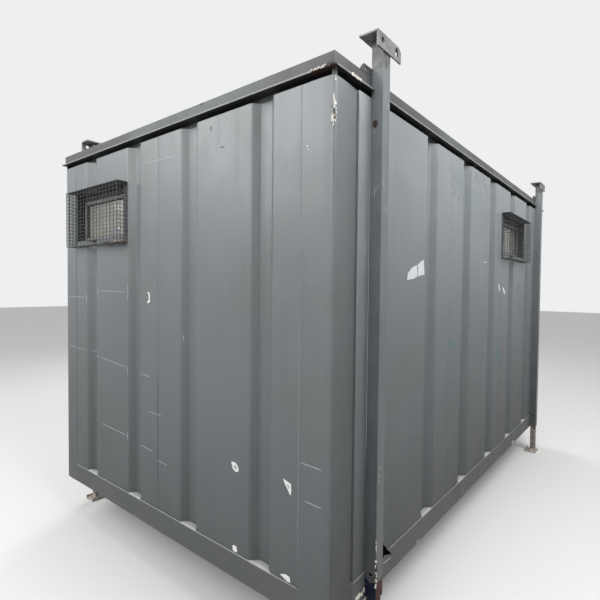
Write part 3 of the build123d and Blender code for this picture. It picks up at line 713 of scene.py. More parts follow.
def build_wall(side):
    """Corrugated sheet with rounded folds, slight oil-canning, a seam and its opening."""
    start, end, low, high = hole_of(side)
    alongs = with_stops([p.x for p in PROFILES[side]], [start, end])
    levels = [SOLE_TOP + (WALL_TOP - SOLE_TOP) * n / WALL_ROWS for n in range(WALL_ROWS + 1)]
    levels = with_stops(levels, [z for z in (low, high) if z > SOLE_TOP])
    if side == "front":
        alongs = [s for s in alongs if not GAP_START < s < GAP_FOOT]
        alongs = sorted(alongs + [GAP_START, SHOULDER, GAP_FOOT])
        levels = with_stops(levels, [GAP_TOP], 0.01)
    columns = [(s, depth_at(side, s)) for s in alongs]
    if side in LONG:
        columns = [(alongs[0], SHEET_RETURN), *columns, (alongs[-1], SHEET_RETURN)]
    bm = bmesh.new()
    grid = []
    for s, deep in columns:
        grid.append([bm.verts.new(place(side, s, deep + waviness(side, s, z), z)) for z in levels])
    for i in range(len(columns) - 1):
        for j in range(len(levels) - 1):
            s = (columns[i][0] + columns[i + 1][0]) / 2
            z = (levels[j] + levels[j + 1]) / 2
            if start < s < end and low < z < high:
                continue
            loop = [grid[i][j], grid[i + 1][j], grid[i + 1][j + 1], grid[i][j + 1]]
            if side == "front" and GAP_START < s < GAP_FOOT and z < GAP_TOP:
                if s < SHOULDER:
                    continue
                loop.pop(0)
            bm.faces.new(loop[::-1] if side in ("back", "left") else loop)
    bmesh.ops.delete(bm, geom=[v for v in bm.verts if not v.link_faces], context="VERTS")
    thicken(finish_mesh(f"{side}_wall_skin", bm, "wall", replaces=[f"{side}_wall_sheet"], weighted=False))


def build_post(corner, sx, sy):
    """Folded corner post: a large rounded corner, a slight fold on the end, a dish towards the leg."""
    outline = [
        (WEB_DEPTH, POST_END), (0.0, POST_END), (0.0, POST_CREASE), (POST_LEAN, 0.0), (POST_FLAT, 0.0),
        (POST_LONG, POST_DISH), (POST_LONG, WEB_DEPTH),
    ]
    line = subdivide(rounded(outline, [0, 0.003, 0.012, 0.020, 0.04, 0.003, 0], 5), 0.05)
    node = f"corner_post_{corner}"
    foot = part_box(node)[0].z
    bm = bmesh.new()
    grid = []
    for x, y in line:
        column = []
        for n in range(POST_ROWS + 1):
            z = foot + (WALL_TOP - foot) * n / POST_ROWS
            fade = ramp(z - foot, 0.2) * ramp(WALL_TOP - z, 0.2)
            push = 0.0012 * fade * noise.noise(Vector((x * 6 + sx * 7, y * 6 + sy * 5, z * 1.1)))
            inset = 0.0 if x > 0.04 and y > 0.04 else abs(push)
            column.append(bm.verts.new((sx * (HALF_X - x - inset), sy * (HALF_Y - y - inset), z)))
        grid.append(column)
    for a, b in zip(grid, grid[1:]):
        for j in range(POST_ROWS):
            loop = [a[j], b[j], b[j + 1], a[j + 1]]
            bm.faces.new(loop[::-1] if sx * sy < 0 else loop)
    thicken(finish_mesh(f"post_{corner}", bm, "post", replaces=[node], weighted=False))


def sweep(bm, side, section, start, end, mitre, step, wobble, seed):
    """A closed section of (outward, level) points swept along a wall, mitred where asked."""
    stations = max(1, math.ceil((end - start) / step))
    rings = []
    for n in range(stations + 1):
        ring = []
        for out, z in section:
            first = start - (out if mitre[0] else 0.0)
            last = end + (out if mitre[1] else 0.0)
            along = first + (last - first) * (n / stations)
            fade = wobble * ramp(along - start, 0.15) * ramp(end - along, 0.15)
            jog = fade * noise.noise(Vector((along * 2.3, out * 30 + seed, z * 6)))
            lift = 0.6 * fade * noise.noise(Vector((along * 3.1, out * 30 + seed + 4, z * 6)))
            if z > ROOF_TOP - 0.001:
                lift = -abs(lift)
            ring.append(bm.verts.new(place(side, along, -(out - abs(jog)), z + lift)))
        rings.append(ring)
    loft(bm, rings)


def build_rail(side):
    """Roof rail with rounded folds; its lip is cut away beside the sleeves."""
    t = PLATE
    body = [
        (0, ROOF_TOP), (0, LIP_LOW), (-WEB_DEPTH, LIP_LOW), (-WEB_DEPTH, WALL_TOP - 0.044),
        (-WEB_DEPTH - t, WALL_TOP - 0.044), (-WEB_DEPTH - t, LIP_LOW + t), (-t, LIP_LOW + t),
        (-t, ROOF_TOP - t), (-FLANGE, ROOF_TOP - t), (-FLANGE, ROOF_TOP),
    ]
    lip = [(-0.002, LIP_TOP), (RAIL_OUT, LIP_TOP - 0.002), (RAIL_OUT, LIP_LOW), (-0.002, LIP_LOW)]
    bm = bmesh.new()
    run = RUN[side]
    sweep(bm, side, rounded(body, 0.004, 2, closed=True), 0.0, run, (True, True), 0.12, 0.0012, SEED[side])
    edges = [0.0, run]
    if side in LONG:
        notch = SLEEVE / 2 + 0.002
        edges[1:1] = [HALF_X + sign * LEG_X[side] + reach for sign in (-1, 1) for reach in (-notch, notch)]
    for a, b in zip(edges[::2], edges[1::2]):
        line = rounded(lip, 0.003, 2, closed=True)
        sweep(bm, side, line, a, b, (a == 0.0, b == run), 0.06, 0.0022, SEED[side] + 3)
    finish_mesh(f"rail_{side}", bm, "rail", replaces=[f"roof_rail_{side}"])


def build_sole(side):
    """Sole channel with rounded folds, slightly dented, and its top fold the largest."""
    t = PLATE
    run = RUN[side]
    inset = wall_box(side, f"sole_bar_{side}")[0]
    section = [
        (0, SOLE_LOW), (0, SOLE_TOP), (-FLANGE, SOLE_TOP), (-FLANGE, SOLE_TOP - t), (-t, SOLE_TOP - t),
        (-t, SOLE_LOW + t), (-FLANGE, SOLE_LOW + t), (-FLANGE, SOLE_LOW),
    ]
    bm = bmesh.new()
    square = inset > 0.01
    line = rounded(section, [0.004, 0.013, 0.001, 0.001, 0.009, 0.003, 0.001, 0.001], 4, closed=True)
    sweep(bm, side, line, inset, run - inset, (not square, not square), 0.10, 0.0016, SEED[side])
    if square:
        levels = (SOLE_LOW + 0.002, SOLE_TOP - 0.002)
        for near in (inset, run - inset - t):
            slab(bm, side, (near, near + t), (0.002, 0.098), levels)
        # The post's dish is filled out flush with the bar beside it
        filler = bmesh.new()
        for end, sign in ((0.0, 1), (run, -1)):
            fill = [(0.150, 0.0078), (inset, 0.0004), (inset, 0.020), (0.150, 0.020)]
            upright(filler, side, [(end + sign * s, deep) for s, deep in fill], levels)
        finish_mesh(f"sole_filler_{side}", filler, "post", smooth=False)
    sole = finish_mesh(f"sole_{side}", bm, "sole", replaces=[f"sole_bar_{side}"])
    if side == "front":
        cut_gap(sole, 0.060)


def tube(bm, points, radius, sides=6, ragged=0.0, seed=0.0):
    """Closed tube through points, with an uneven girth for welds."""
    rings = []
    for n, point in enumerate(points):
        axis = (points[min(len(points) - 1, n + 1)] - points[max(0, n - 1)]).normalized()
        across = axis.cross(Vector((0, 0, 1)))
        if across.length < 0.1:
            across = axis.cross(Vector((1, 0, 0)))
        across.normalize()
        up = across.cross(axis)
        girth = radius * (1 + ragged * noise.noise(point * 60 + Vector((seed, 0, 0))))
        turns = [math.tau * k / sides for k in range(sides)]
        rings.append([bm.verts.new(point + girth * (math.cos(a) * across + math.sin(a) * up)) for a in turns])
    loft(bm, rings)


def build_beads(side):
    """Weld along the foot of the sheet, and one up each joint with a post."""
    bm = bmesh.new()
    start, end = (GAP_START, GAP_FOOT) if side == "front" else hole_of(side)[:2]
    line = subdivide(PROFILES[side], 0.018)
    runs = [line]
    if side in LONG:
        runs = [[p for p in line if p.x < start], [p for p in line if p.x > end]]
    for run in runs:
        tube(bm, [place(side, p.x, p.y - 0.001, SOLE_TOP + 0.0010) for p in run], 0.0028, 6, 0.45, SEED[side])
    for along in (POST[side], RUN[side] - POST[side]):
        face = depth_at(side, along - 0.001) if along < 1 else depth_at(side, along)
        points = [place(side, along, min(face, 0.002) + 0.001, SOLE_TOP + 0.02 * n) for n in range(118)]
        tube(bm, [p for p in points if p.z < WALL_TOP], 0.0016, 5, 0.4, along)
    finish_mesh(f"weld_{side}", bm, "bead", weighted=False)


# ---- Windows and guards ----

def ring(bm, side, outer, inner, near, far):
    """Rectangular ring between two (along, along, low, high) boxes, from one depth to another."""
    loops = []
    for (start, end, low, high), deep in ((outer, near), (inner, near), (inner, far), (outer, far)):
        corners = ((start, low), (end, low), (end, high), (start, high))
        loops.append([bm.verts.new(place(side, s, deep, z)) for s, z in corners])
    loft(bm, loops, closed=True)
    bmesh.ops.bevel(bm, geom=bm.edges[:], offset=0.0012, segments=2, affect="EDGES", clamp_overlap=True)


def grown(box, reach):
    start, end, low, high = box
    return (start - reach, end + reach, low - reach, high + reach)


def build_window(side):
    """Steel reveal, outer frame, lighter sash and black gasket round the pane."""
    node = f"window_frame_{side}"
    hole = wall_box(side, node)
    pane = wall_box(side, f"window_pane_{side}")
    start, end, low, high = grown(pane, 0.036)
    clear = (start, end, max(low, hole[2] + 0.004), high)
    for name, material, outer, inner, near, far in (
        ("reveal", "reveal", hole, grown(hole, -0.004), 0.001, 0.060),
        ("outer_frame", "window_grey", hole, clear, 0.058, 0.096),
        ("back_seal", "rubber", hole, grown(pane, 0.010), 0.065, 0.095),
        ("sash", "window", grown(pane, 0.026), grown(pane, 0.001), 0.050, 0.090),
        ("gasket", "rubber", grown(pane, 0.004), grown(pane, -0.004), 0.060, 0.071),
    ):
        bm = bmesh.new()
        ring(bm, side, outer, inner, near, far)
        finish_mesh(f"{name}_{side}", bm, material, replaces=[node])


ROD, WIRE = 0.0025, 0.0018
MESH_COLUMNS, MESH_ROWS, MESH_RETURNS = 16, 16, 3


def build_guard(side):
    """Guard folded from welded mesh, open to the wall behind, on a flat flange at its near foot."""
    node = f"window_guard_{side}"
    start, end, bottom, top = wall_box(side, node)
    low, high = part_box(node)
    front = {"front": -HALF_Y - low.y, "left": -HALF_X - low.x, "right": high.x - HALF_X}[side]
    face = front - ROD
    inner = face - 2 * WIRE
    (left, right), (foot, head) = (start + ROD, end - ROD), (bottom + ROD, top - ROD)
    bm = bmesh.new()

    def run(radius, *points):
        """Wire through points given as (along, outward, z), with its corners bent."""
        points = [place(side, s, -out, z) for s, out, z in points]
        tube(bm, rounded(points, 0.004, 2) if len(points) > 2 else points, radius)

    def uneven(first, last, n, count, stretch, seed):
        """Place of the nth of so many wires between two edges, slightly off its even spacing."""
        return first + (last - first) * n / count + 0.0010 * noise.noise(Vector((n * stretch, SEED[side], seed)))

    for out in (ROD, face):
        corners = [(left, out, foot), (right, out, foot), (right, out, head), (left, out, head)]
        for a, b in zip(corners, corners[1:] + corners[:1]):
            run(ROD, a, b)
    for s in (left, right):
        for z in (foot, head):
            run(ROD, (s, ROD, z), (s, face, z))
    for n in range(1, MESH_COLUMNS):
        s = uneven(start, end, n, MESH_COLUMNS, 1.7, 0)
        run(WIRE, (s, ROD, head), (s, face, head), (s, face, foot), (s, ROD, foot))
    for n in range(1, MESH_ROWS):
        z = uneven(bottom, top, n, MESH_ROWS, 2.3, 4)
        run(WIRE, (left, ROD, z), (left, inner, z), (right, inner, z), (right, ROD, z))
    for n in range(1, MESH_RETURNS):
        out = front * n / MESH_RETURNS
        for z in (foot, head):
            run(WIRE, (left, out, z), (right, out, z))
        for s in (left, right):
            run(WIRE, (s, out, foot), (s, out, head))
    slab(bm, side, (start, end), (0.0, -front), (top - 0.0030, top - 0.0005))
    gap = hole_of(side)[0] - 0.003
    cut = 0.012
    flange = [
        (start, bottom + cut), (start + cut, bottom + 0.002), (gap, bottom + 0.002),
        (gap, top - 0.002), (start + cut, top - 0.002), (start, top - cut),
    ]
    blot(bm, side, flange, 0.0040, 0.002)
    finish_mesh(f"guard_{side}", bm, "guard", smooth=False, replaces=[node])


# ---- Marks on the paint: thin flakes, scraps and rubs that lie on the sheet ----

def blot(bm, side, outline, lift=0.0007, sink=0.0008, level=None):
    """Thin closed flake over an outline of (along, z) points, on the sheet or at a level depth."""
    rims = []
    for reach in (-lift, sink):
        deeps = [surface_at(side, *point) if level is None else level for point in outline]
        rims.append([place(side, s, deep + reach, z) for (s, z), deep in zip(outline, deeps)])
    prism(bm, rims)


def ribbon(bm, rng, side, points, width, lift=0.0006, sink=0.0008):
    """Thin sliver through (along, z) points, tapered at its ends and uneven between."""
    line = subdivide([Vector(p) for p in points], 0.03)
    count = len(line) - 1
    edges = []
    for sign in (1, -1):
        edge = []
        for n, point in enumerate(line):
            on = (line[min(n + 1, count)] - line[max(n - 1, 0)]).normalized()
            taper = min(1.0, 0.2 + 6 * n / count, 0.2 + 6 * (1 - n / count))
            half = 0.5 * width * taper * rng.uniform(0.6, 1.3)
            s, z = point + sign * half * Vector((-on.y, on.x))
            deep = surface_at(side, s, z)
            edge.append([bm.verts.new(place(side, s, deep - out, z)) for out in (lift, -sink)])
        edges.append(edge)
    loft(bm, [[*one, *two[::-1]] for one, two in zip(*edges)])


def ragged(rng, centre, size, stretch=1.0, points=7):
    """Uneven outline round a centre."""
    turn = rng.uniform(0, math.tau)
    out = []
    for n in range(points):
        angle = turn + math.tau * (n + rng.uniform(-0.25, 0.25)) / points
        reach = size * rng.uniform(0.55, 1.1)
        out.append((centre[0] + reach * math.cos(angle), centre[1] + stretch * reach * math.sin(angle)))
    return out


def spray(bm, rng, side, start, end, spread, count, size, stretch):
    """Scatter of small flakes along a line on a wall."""
    for _ in range(count):
        t = rng.random()
        s = start[0] + (end[0] - start[0]) * t + rng.gauss(0, spread[0])
        z = start[1] + (end[1] - start[1]) * t + rng.gauss(0, spread[1])
        flake = ragged(rng, (s, z), size * rng.uniform(0.4, 1.2), stretch, rng.choice((4, 5, 6)))
        blot(bm, side, flake, 0.0006)


def build_marks(name, material, seed, scraps=(), slivers=(), sprays=(), lift=0.0012):
    """Marks of one kind: outlined scraps, slivers along lines and sprays of small flakes."""
    rng = random.Random(seed)
    bm = bmesh.new()
    for side, *outline in scraps:
        blot(bm, side, outline, lift)
    for side, start, end, width in slivers:
        ribbon(bm, rng, side, (start, end), width)
    for row in sprays:
        spray(bm, rng, *row)
    finish_mesh(name, bm, material, smooth=False)


def build_litter(name, material, start, end, count, sizes, seed):
    """Dead leaves and dirt caught on the foot of the near guard."""
    rng = random.Random(seed)
    floor_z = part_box("window_guard_left")[0].z + 0.005
    bm = bmesh.new()
    for _ in range(count):
        s = rng.uniform(start, end)
        out = rng.uniform(0.010, 0.052)
        size = rng.uniform(*sizes)
        centre = place("left", s, -out, floor_z + size * 0.35)
        for v in bmesh.ops.create_icosphere(bm, subdivisions=1, radius=size)["verts"]:
            v.co = v.co * (1 + 0.7 * noise.noise(v.co * 90 + Vector((s * 40, 0, 0))))
            v.co.z *= 0.5
            v.co += centre
    finish_mesh(name, bm, material, weighted=False)


CORNER_RADIUS = 0.018
CORNER_INSET = 0.004
TAB_STEPS = 5
TAB_RETURN = 0.050


def corner_point(bias, z, out):
    """Point on the rounded near corner: bias 0 is on the end wall, 1 on the long wall."""
    angle = math.radians(90 * bias)
    centre = Vector((-HALF_X + CORNER_INSET + CORNER_RADIUS, -HALF_Y + CORNER_RADIUS, z))
    return centre + (CORNER_RADIUS + out) * Vector((-math.cos(angle), -math.sin(angle), 0))


def build_corner_tabs():
    """Rounded tab at each corner that carries the post up into the rail.

    A return along the back wall and the right end closes the recess behind them.
    """
    bm = bmesh.new()
    for sx in (-1, 1):
        for sy in (-1, 1):
            rims = []
            for z in (WALL_TOP - 0.006, LIP_LOW + 0.003):
                outer, inner = (
                    [corner_point(n / TAB_STEPS, z, out) for n in range(TAB_STEPS + 1)] for out in (-0.001, -0.006)
                )
                for arc in (outer, inner):
                    if sx > 0:
                        arc.insert(0, arc[0] + Vector((0, TAB_RETURN, 0)))
                    if sy > 0:
                        arc.append(arc[-1] + Vector((TAB_RETURN, 0, 0)))
                rims.append([(-sx * p.x, -sy * p.y, p.z) for p in outer + inner[::-1]])
            prism(bm, rims)
    finish_mesh("corner_tabs", bm, "rail", smooth=False)


# Flakes on the near corner: (bias round the corner, z, half bias, half height, material)
CORNER_CHIPS = [
    (0.34, 2.692, 0.09, 0.006, "paper"), (0.40, 2.680, 0.10, 0.010, "paper"),
    (0.50, 2.668, 0.15, 0.010, "flake"), (0.62, 2.657, 0.17, 0.008, "paper"),
    (0.42, 2.655, 0.12, 0.008, "flake"), (0.47, 2.642, 0.10, 0.007, "paper"),
    (0.02, 2.645, 0.14, 0.006, "dark_flake"), (0.43, 2.626, 0.13, 0.012, "dark_flake"),
    (0.72, 2.634, 0.08, 0.005, "paper"), (0.82, 2.618, 0.09, 0.005, "paper"),
    (0.48, 2.611, 0.20, 0.004, "rust_flake"), (0.30, 2.604, 0.30, 0.006, "flake"),
    (0.16, 2.597, 0.17, 0.010, "paper"), (0.40, 2.597, 0.10, 0.006, "rust_flake"),
    (0.66, 2.592, 0.08, 0.008, "dark_flake"), (0.74, 2.594, 0.06, 0.009, "flake"),
    (0.34, 2.585, 0.24, 0.006, "flake"), (0.05, 2.583, 0.12, 0.005, "paper"),
    (0.66, 2.581, 0.10, 0.004, "paper"), (0.05, 2.571, 0.09, 0.005, "dark_flake"),
    (0.34, 2.574, 0.08, 0.006, "flake"), (0.32, 2.564, 0.11, 0.005, "paper"),
    (0.62, 2.760, 0.10, 0.007, "paper"), (0.56, 2.772, 0.07, 0.004, "flake"),
]


def build_corner_chips():
    """Paint flaked off the near corner, showing primer and dark steel."""
    rng = random.Random(41)
    for material, lift in (("paper", 0.0009), ("flake", 0.0009), ("rust_flake", 0.0013), ("dark_flake", 0.0013)):
        bm = bmesh.new()
        for bias, z, wide, high, kind in CORNER_CHIPS:
            outline = ragged(rng, (0.0, 0.0), 1.25)
            if kind == material:
                corners = [(min(1.0, max(0.0, bias + wide * x)), z + high * y) for x, y in outline]
                prism(bm, [[corner_point(b, h, out) for b, h in corners] for out in (lift, -0.0020)])
        finish_mesh(f"corner_{material}", bm, material, smooth=False)


def build_edge_chips(name, material, start, end, across, count, size, seed):
    """Flakes scattered about a straight edge, each a thin crumpled lozenge."""
    rng = random.Random(seed)
    bm = bmesh.new()
    start, end = Vector(start), Vector(end)
    for _ in range(count):
        centre = start.lerp(end, rng.random())
        centre += Vector([rng.uniform(-a, a) for a in across])
        shape = Vector([size * rng.uniform(0.35, 1.0) for _ in range(3)])
        shape.x = min(shape.x, across[0] + 0.0016)
        shape.y = min(shape.y, across[1] + 0.0016)
        for v in bmesh.ops.create_icosphere(bm, subdivisions=1, radius=1.0)["verts"]:
            v.co = v.co * shape + centre
    finish_mesh(name, bm, material, smooth=False)


# ---- The pieces ----

for wall in RUN:
    build_wall(wall)
    build_rail(wall)
    build_sole(wall)
    build_beads(wall)
for corner, sx, sy in (("front_left", -1, -1), ("front_right", 1, -1), ("back_left", -1, 1), ("back_right", 1, 1)):
    build_post(corner, sx, sy)
for wall in ("front", "left", "right"):
    build_window(wall)
    build_guard(wall)
build_litter("litter_brown", "beige", 1.772, 1.87, 22, (0.008, 0.016), 5)
build_litter("litter_dark", "dark_flake", 1.775, 2.07, 34, (0.006, 0.014), 7)
build_litter("litter_pale", "rub", 1.91, 1.98, 5, (0.008, 0.014), 9)

# A small label and a bright scrap on the near pane
for name, material, outline in (
    ("pane_label", "dim_label", [(2.052, 2.262), (2.114, 2.266), (2.116, 2.240), (2.053, 2.236)]),
    ("pane_scrap", "paper", [(2.001, 2.278), (2.016, 2.282), (2.021, 2.268), (2.010, 2.260), (2.000, 2.266)]),
):
    bm = bmesh.new()
    blot(bm, "left", outline, 0.0006, 0.0010, level=0.069)
    finish_mesh(name, bm, material, smooth=False)

# Scraps are a wall and the points of an outline, as (along, z)
build_marks("label_scraps", "paper", 11, scraps=[
    ("left", (0.668, 0.912), (0.655, 0.878), (0.632, 0.866), (0.612, 0.872), (0.608, 0.893), (0.622, 0.905),
     (0.640, 0.916)),
    ("left", (0.285, 0.925), (0.270, 0.900), (0.252, 0.878), (0.236, 0.855), (0.230, 0.880), (0.234, 0.912),
     (0.256, 0.918)),
    ("left", (0.655, 0.460), (0.652, 0.436), (0.634, 0.430), (0.618, 0.438), (0.622, 0.462), (0.640, 0.466)),
    ("left", (0.300, 0.448), (0.272, 0.438), (0.250, 0.430), (0.232, 0.434), (0.236, 0.456), (0.262, 0.462)),
    ("left", (1.512, 1.812), (1.478, 1.806), (1.474, 1.745), (1.506, 1.738), (1.508, 1.750), (1.488, 1.757),
     (1.490, 1.797)),
    ("left", (0.154, 2.499), (0.148, 2.497), (0.148, 2.491), (0.153, 2.490)),
    ("left", (0.147, 2.483), (0.142, 2.481), (0.142, 2.476), (0.146, 2.475)),
    ("front", (2.440, 1.905), (2.468, 1.900), (2.485, 1.850), (2.470, 1.838), (2.452, 1.870)),
    ("front", (2.560, 1.880), (2.610, 1.870), (2.660, 1.815), (2.625, 1.818), (2.585, 1.850)),
    ("front", (2.040, 2.083), (2.110, 2.080), (2.180, 2.074), (2.110, 2.070), (2.045, 2.074)),
])
build_marks("label_hollows", "rub", 13, lift=0.0018, scraps=[
    ("left", (0.648, 0.900), (0.640, 0.882), (0.626, 0.878), (0.622, 0.892), (0.632, 0.902)),
    ("left", (0.262, 0.906), (0.252, 0.892), (0.243, 0.884), (0.242, 0.902)),
])
build_marks("torn_label", "pale_label", 17, scraps=[
    ("front", (0.698, 1.901), (0.704, 1.936), (0.735, 1.962), (0.770, 1.979), (0.822, 1.992), (0.824, 1.924),
     (0.760, 1.908)),
    ("front", (0.832, 1.996), (0.872, 2.018), (0.909, 2.028), (0.914, 1.985), (0.921, 1.937), (0.876, 1.934),
     (0.832, 1.925)),
])

# Slivers are a wall, two points and a width; the near end wall has them level and upright
RUBS = [("left", start, end, 0.0036) for start, end in (
    ((2.70, 1.362), (2.38, 1.352)), ((2.36, 1.352), (2.22, 1.335)), ((2.190, 1.325), (1.76, 1.287)),
    ((1.585, 1.272), (1.47, 1.262)), ((2.14, 0.832), (1.76, 0.818)), ((1.58, 0.795), (1.44, 0.781)),
    ((2.70, 1.760), (2.36, 1.758)), ((2.17, 1.812), (1.77, 1.806)), ((1.50, 1.034), (1.335, 1.034)),
    ((0.178, 1.031), (0.045, 1.027)), ((0.151, 0.856), (0.043, 0.852)), ((1.57, 2.640), (1.16, 2.630)),
    ((1.40, 0.74), (1.28, 0.735)),
)]
RUBS += [("left", (along, low), (along, high), 0.0040) for along, low, high in (
    (2.366, 1.700, 1.800), (2.190, 1.745, 1.865), (1.757, 1.740, 1.862), (1.589, 1.855, 1.895),
    (1.589, 1.735, 1.775), (2.190, 1.305, 1.345), (1.757, 1.225, 1.305), (1.588, 1.245, 1.305),
    (1.757, 0.780, 0.850), (1.588, 0.770, 0.820), (1.125, 1.520, 1.560), (2.366, 1.335, 1.365),
)]
BY_SLEEVE = SLEEVE_LEFT + HALF_X - 0.004
FAR_JOINT = 2 * HALF_Y - POST_END - 0.004
build_marks("rubs_and_painted_highlights", "rub", 23, slivers=[
    *RUBS,
    # Painted highlight: the light line of the sole's dented top fold beneath the torn gap
    ("front", (0.476, 0.3705), (0.566, 0.3625), 0.0050),
    ("front", (BY_SLEEVE, 1.00), (BY_SLEEVE, 2.74), 0.0050),
])

# Sprays are a wall, two points, a spread along and up, a count, a size and a stretch upwards
build_marks(
    "faint_marks", "faint_rub", 29,
    slivers=[
        ("left", (POST_END + 0.001, 0.45), (POST_END + 0.001, 2.76), 0.0034),
        ("front", (POST_LONG + 0.004, 1.60), (POST_LONG + 0.004, 2.74), 0.0040),
    ],
    sprays=[
        ("front", (1.33, 2.63), (1.44, 2.52), (0.030, 0.034), 34, 0.008, 2.6),
        ("front", (1.40, 2.56), (1.53, 2.50), (0.030, 0.034), 24, 0.007, 2.6),
        ("front", (1.78, 2.74), (2.14, 2.66), (0.030, 0.034), 44, 0.007, 2.6),
        ("front", (1.80, 2.70), (2.05, 2.62), (0.030, 0.034), 30, 0.008, 2.6),
    ],
)
build_marks(
    "dark_rubs", "dark_rub", 31,
    slivers=[
        ("front", (0.757, 0.954), (0.930, 0.944), 0.0040),
        ("front", (1.203, 0.963), (1.431, 0.951), 0.0040),
        ("left", (1.386, 0.60), (1.386, 1.25), 0.0030),
        ("left", (FAR_JOINT, 0.45), (FAR_JOINT, 2.76), 0.0050),
    ],
    sprays=[
        ("left", (0.854, 2.728), (0.854, 2.700), (0.002, 0.004), 8, 0.004, 1.5),
        ("left", (0.775, 2.603), (0.745, 2.600), (0.004, 0.002), 16, 0.004, 0.6),
        ("left", (0.85, 2.62), (0.90, 2.70), (0.03, 0.03), 10, 0.004, 1.0),
    ],
)
build_marks("teal_smears", "teal", 37, sprays=[
    ("front", (1.30, 1.49), (1.42, 1.46), (0.012, 0.012), 26, 0.0085, 1.2),
    ("front", (2.46, 1.32), (2.49, 1.22), (0.014, 0.024), 60, 0.0100, 1.6),
])
build_corner_chips()
build_corner_tabs()

# A near-black plate in the hollow behind the torn gap: painted shade
bm = bmesh.new()
slab(bm, "front", (0.425, 0.600), (0.0100, 0.0115), (0.369, 0.490))
finish_mesh("gap_shade", bm, "shade", smooth=False)

# Flakes along edges: (name, material, from, to, spread about the edge, count, size, seed)
FACE_Y = -HALF_Y - SLEEVE
LIP_FACE = -HALF_Y - RAIL_OUT
LIP_END = -HALF_X - RAIL_OUT
for row in (
    ("sleeve_edge_flakes", "flake", (SLEEVE_LEFT, FACE_Y, 0.37), (SLEEVE_LEFT, FACE_Y, 0.50),
     (0.003, 0.003, 0.0), 24, 0.009, 51),
    ("sleeve_edge_upper", "flake", (SLEEVE_LEFT, FACE_Y, 0.54), (SLEEVE_LEFT, FACE_Y, 0.60),
     (0.002, 0.002, 0.0), 8, 0.005, 52),
    ("sleeve_edge_bare", "dark_flake", (SLEEVE_LEFT, FACE_Y, 0.36), (SLEEVE_LEFT, FACE_Y, 0.50),
     (0.004, 0.003, 0.0), 22, 0.010, 53),
    ("sleeve_dots", "paper", (SLEEVE_LEFT + 0.014, FACE_Y, 0.884), (SLEEVE_LEFT + 0.022, FACE_Y, 0.995),
     (0.002, 0.0, 0.0), 3, 0.005, 55),
    ("lip_scrape", "flake", (-HALF_X + 0.108, LIP_FACE, LIP_TOP - 0.006), (-HALF_X + 0.182, LIP_FACE, LIP_TOP - 0.006),
     (0.004, 0.0, 0.004), 46, 0.008, 57),
    ("lip_flakes", "flake", (LIP_END, -HALF_Y + 0.035, LIP_TOP - 0.005), (LIP_END, -HALF_Y + 0.135, LIP_TOP - 0.005),
     (0.0, 0.004, 0.004), 26, 0.006, 59),
    ("lip_bare", "dark_flake", (LIP_END, -HALF_Y - 0.010, LIP_TOP - 0.006), (LIP_END, -HALF_Y + 0.045, LIP_TOP - 0.006),
     (0.0, 0.004, 0.004), 22, 0.008, 58),
    ("sole_edge_flakes", "flake", (-HALF_X + 0.221, -HALF_Y, 0.325), (-HALF_X + 0.302, -HALF_Y, 0.331),
     (0.006, 0.0, 0.010), 34, 0.011, 61),
    ("sole_foot_flakes", "flake", (-HALF_X + 0.885, -HALF_Y, 0.290), (-HALF_X + 0.910, -HALF_Y, 0.300),
     (0.004, 0.0, 0.004), 8, 0.009, 67),
    ("sole_far_flakes", "flake", (-HALF_X + 3.03, -HALF_Y, 0.300), (-HALF_X + 3.10, -HALF_Y, 0.318),
     (0.010, 0.0, 0.008), 20, 0.010, 71),
):
    build_edge_chips(*row)

# Materials of the CAD nodes that stay, by a part of their names; the near jackleg's come last
for part, material in (
    ("sole_bar", "sole"), ("floor_bearers", "under"), ("floor_deck", "ply"), ("corner_post", "post"),
    ("wall_sheet", "wall"), ("wall_lining", "lining"), ("ceiling_panel", "lining"), ("roof_rail", "rail"),
    ("roof_sheet", "roof"), ("window_frame", "window"), ("window_pane", "pane"), ("window_guard", "guard"),
    ("door_frame", "rail"), ("door_leaf", "door"), ("lifting_angles", "zinc"), ("roof_lugs", "rail"),
    ("leg_sleeve", "sleeve"), ("inner_leg", "leg"),
    ("leg_sleeve_front_left", "near_sleeve"), ("inner_leg_front_left", "near_leg"),
):
    for name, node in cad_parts.items():
        if part in name:
            node.data.materials.clear()
            node.data.materials.append(M[material])


# ---- Camera, floor, surroundings, lights ----

CAMERA_AT = (-3.5645, -2.5169, 1.8470)
YAW, PITCH, ROLL = (math.radians(a) for a in (36.364, -1.663, -0.705))

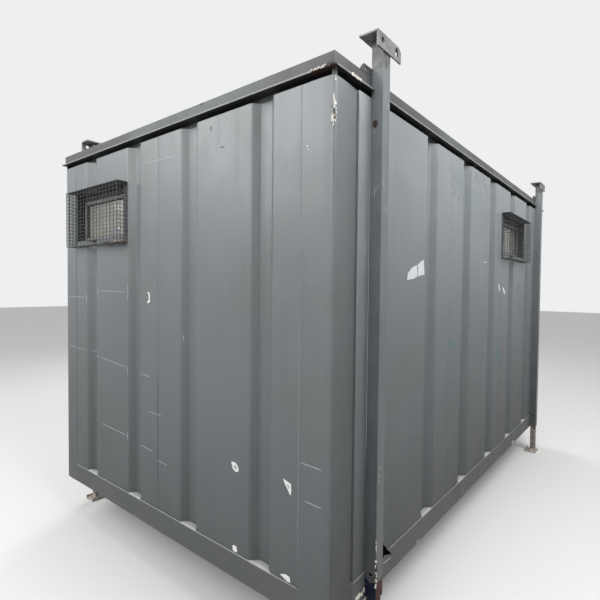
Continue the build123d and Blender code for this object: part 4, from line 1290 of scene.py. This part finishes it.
scene = bpy.context.scene
camera_data = bpy.data.cameras.new("camera")
camera = bpy.data.objects.new("camera", camera_data)
scene.collection.objects.link(camera)
ahead = Vector((math.cos(YAW) * math.cos(PITCH), math.sin(YAW) * math.cos(PITCH), math.sin(PITCH)))
right = Vector((math.sin(YAW), -math.cos(YAW), 0))
right = right * math.cos(ROLL) - right.cross(ahead) * math.sin(ROLL)
turn = Matrix((right, right.cross(ahead), -ahead)).transposed().to_4x4()
camera.matrix_world = Matrix.Translation(CAMERA_AT) @ turn
camera_data.sensor_width = 36.0
camera_data.lens = 25.834
camera_data.shift_x = -0.0679
camera_data.shift_y = 0.0021
camera_data.clip_start = 0.05
camera_data.clip_end = 200
scene.camera = camera

floor_mesh = bpy.data.meshes.new("floor")
bm = bmesh.new()
bmesh.ops.create_grid(bm, x_segments=1, y_segments=1, size=40)
bm.to_mesh(floor_mesh)
bm.free()
floor = bpy.data.objects.new("floor", floor_mesh)
scene.collection.objects.link(floor)
f = Shader("pale_floor")
floor_mesh.materials.append(f.surface(f.mix(f.seen(), (0.22, 0.22, 0.22), (0.66, 0.66, 0.65)), 0.85))

w = Shader("studio", world=True)
rise = w.part(w.node("TexCoord").outputs["Generated"], "Z")
sky = w.mix(w.span(rise, -0.05, 0.75), (0.40, 0.41, 0.425), (0.72, 0.72, 0.72))
shine = w.node("Background", {"Color": w.mix(w.seen(), sky, (0.86, 0.865, 0.87)), "Strength": 1.0})
w.node("OutputWorld", {"Surface": shine.outputs[0]})
scene.world = w.material

for name, where, aim, size, power in (
    ("key", (-5.9, 3.0, 5.3), (-2.0, 0.4, 1.9), 5.0, 235),
    ("side", (-8.0, -1.5, 5.0), (-2.0, -0.8, 1.6), 4.5, 235),
    ("fill", (-1.1, -4.7, 6.2), (-1.1, -1.3, 2.2), 4.2, 375),
    ("back", (4.5, 5.5, 5.5), (0, 0, 1.4), 4.0, 220),
):
    data = bpy.data.lights.new(name, "AREA")
    data.shape = "DISK"
    data.size = size
    data.energy = power
    lamp = bpy.data.objects.new(name, data)
    scene.collection.objects.link(lamp)
    lamp.location = where
    lamp.rotation_euler = (Vector(aim) - Vector(where)).to_track_quat("-Z", "Y").to_euler()

scene.view_settings.view_transform = "Standard"
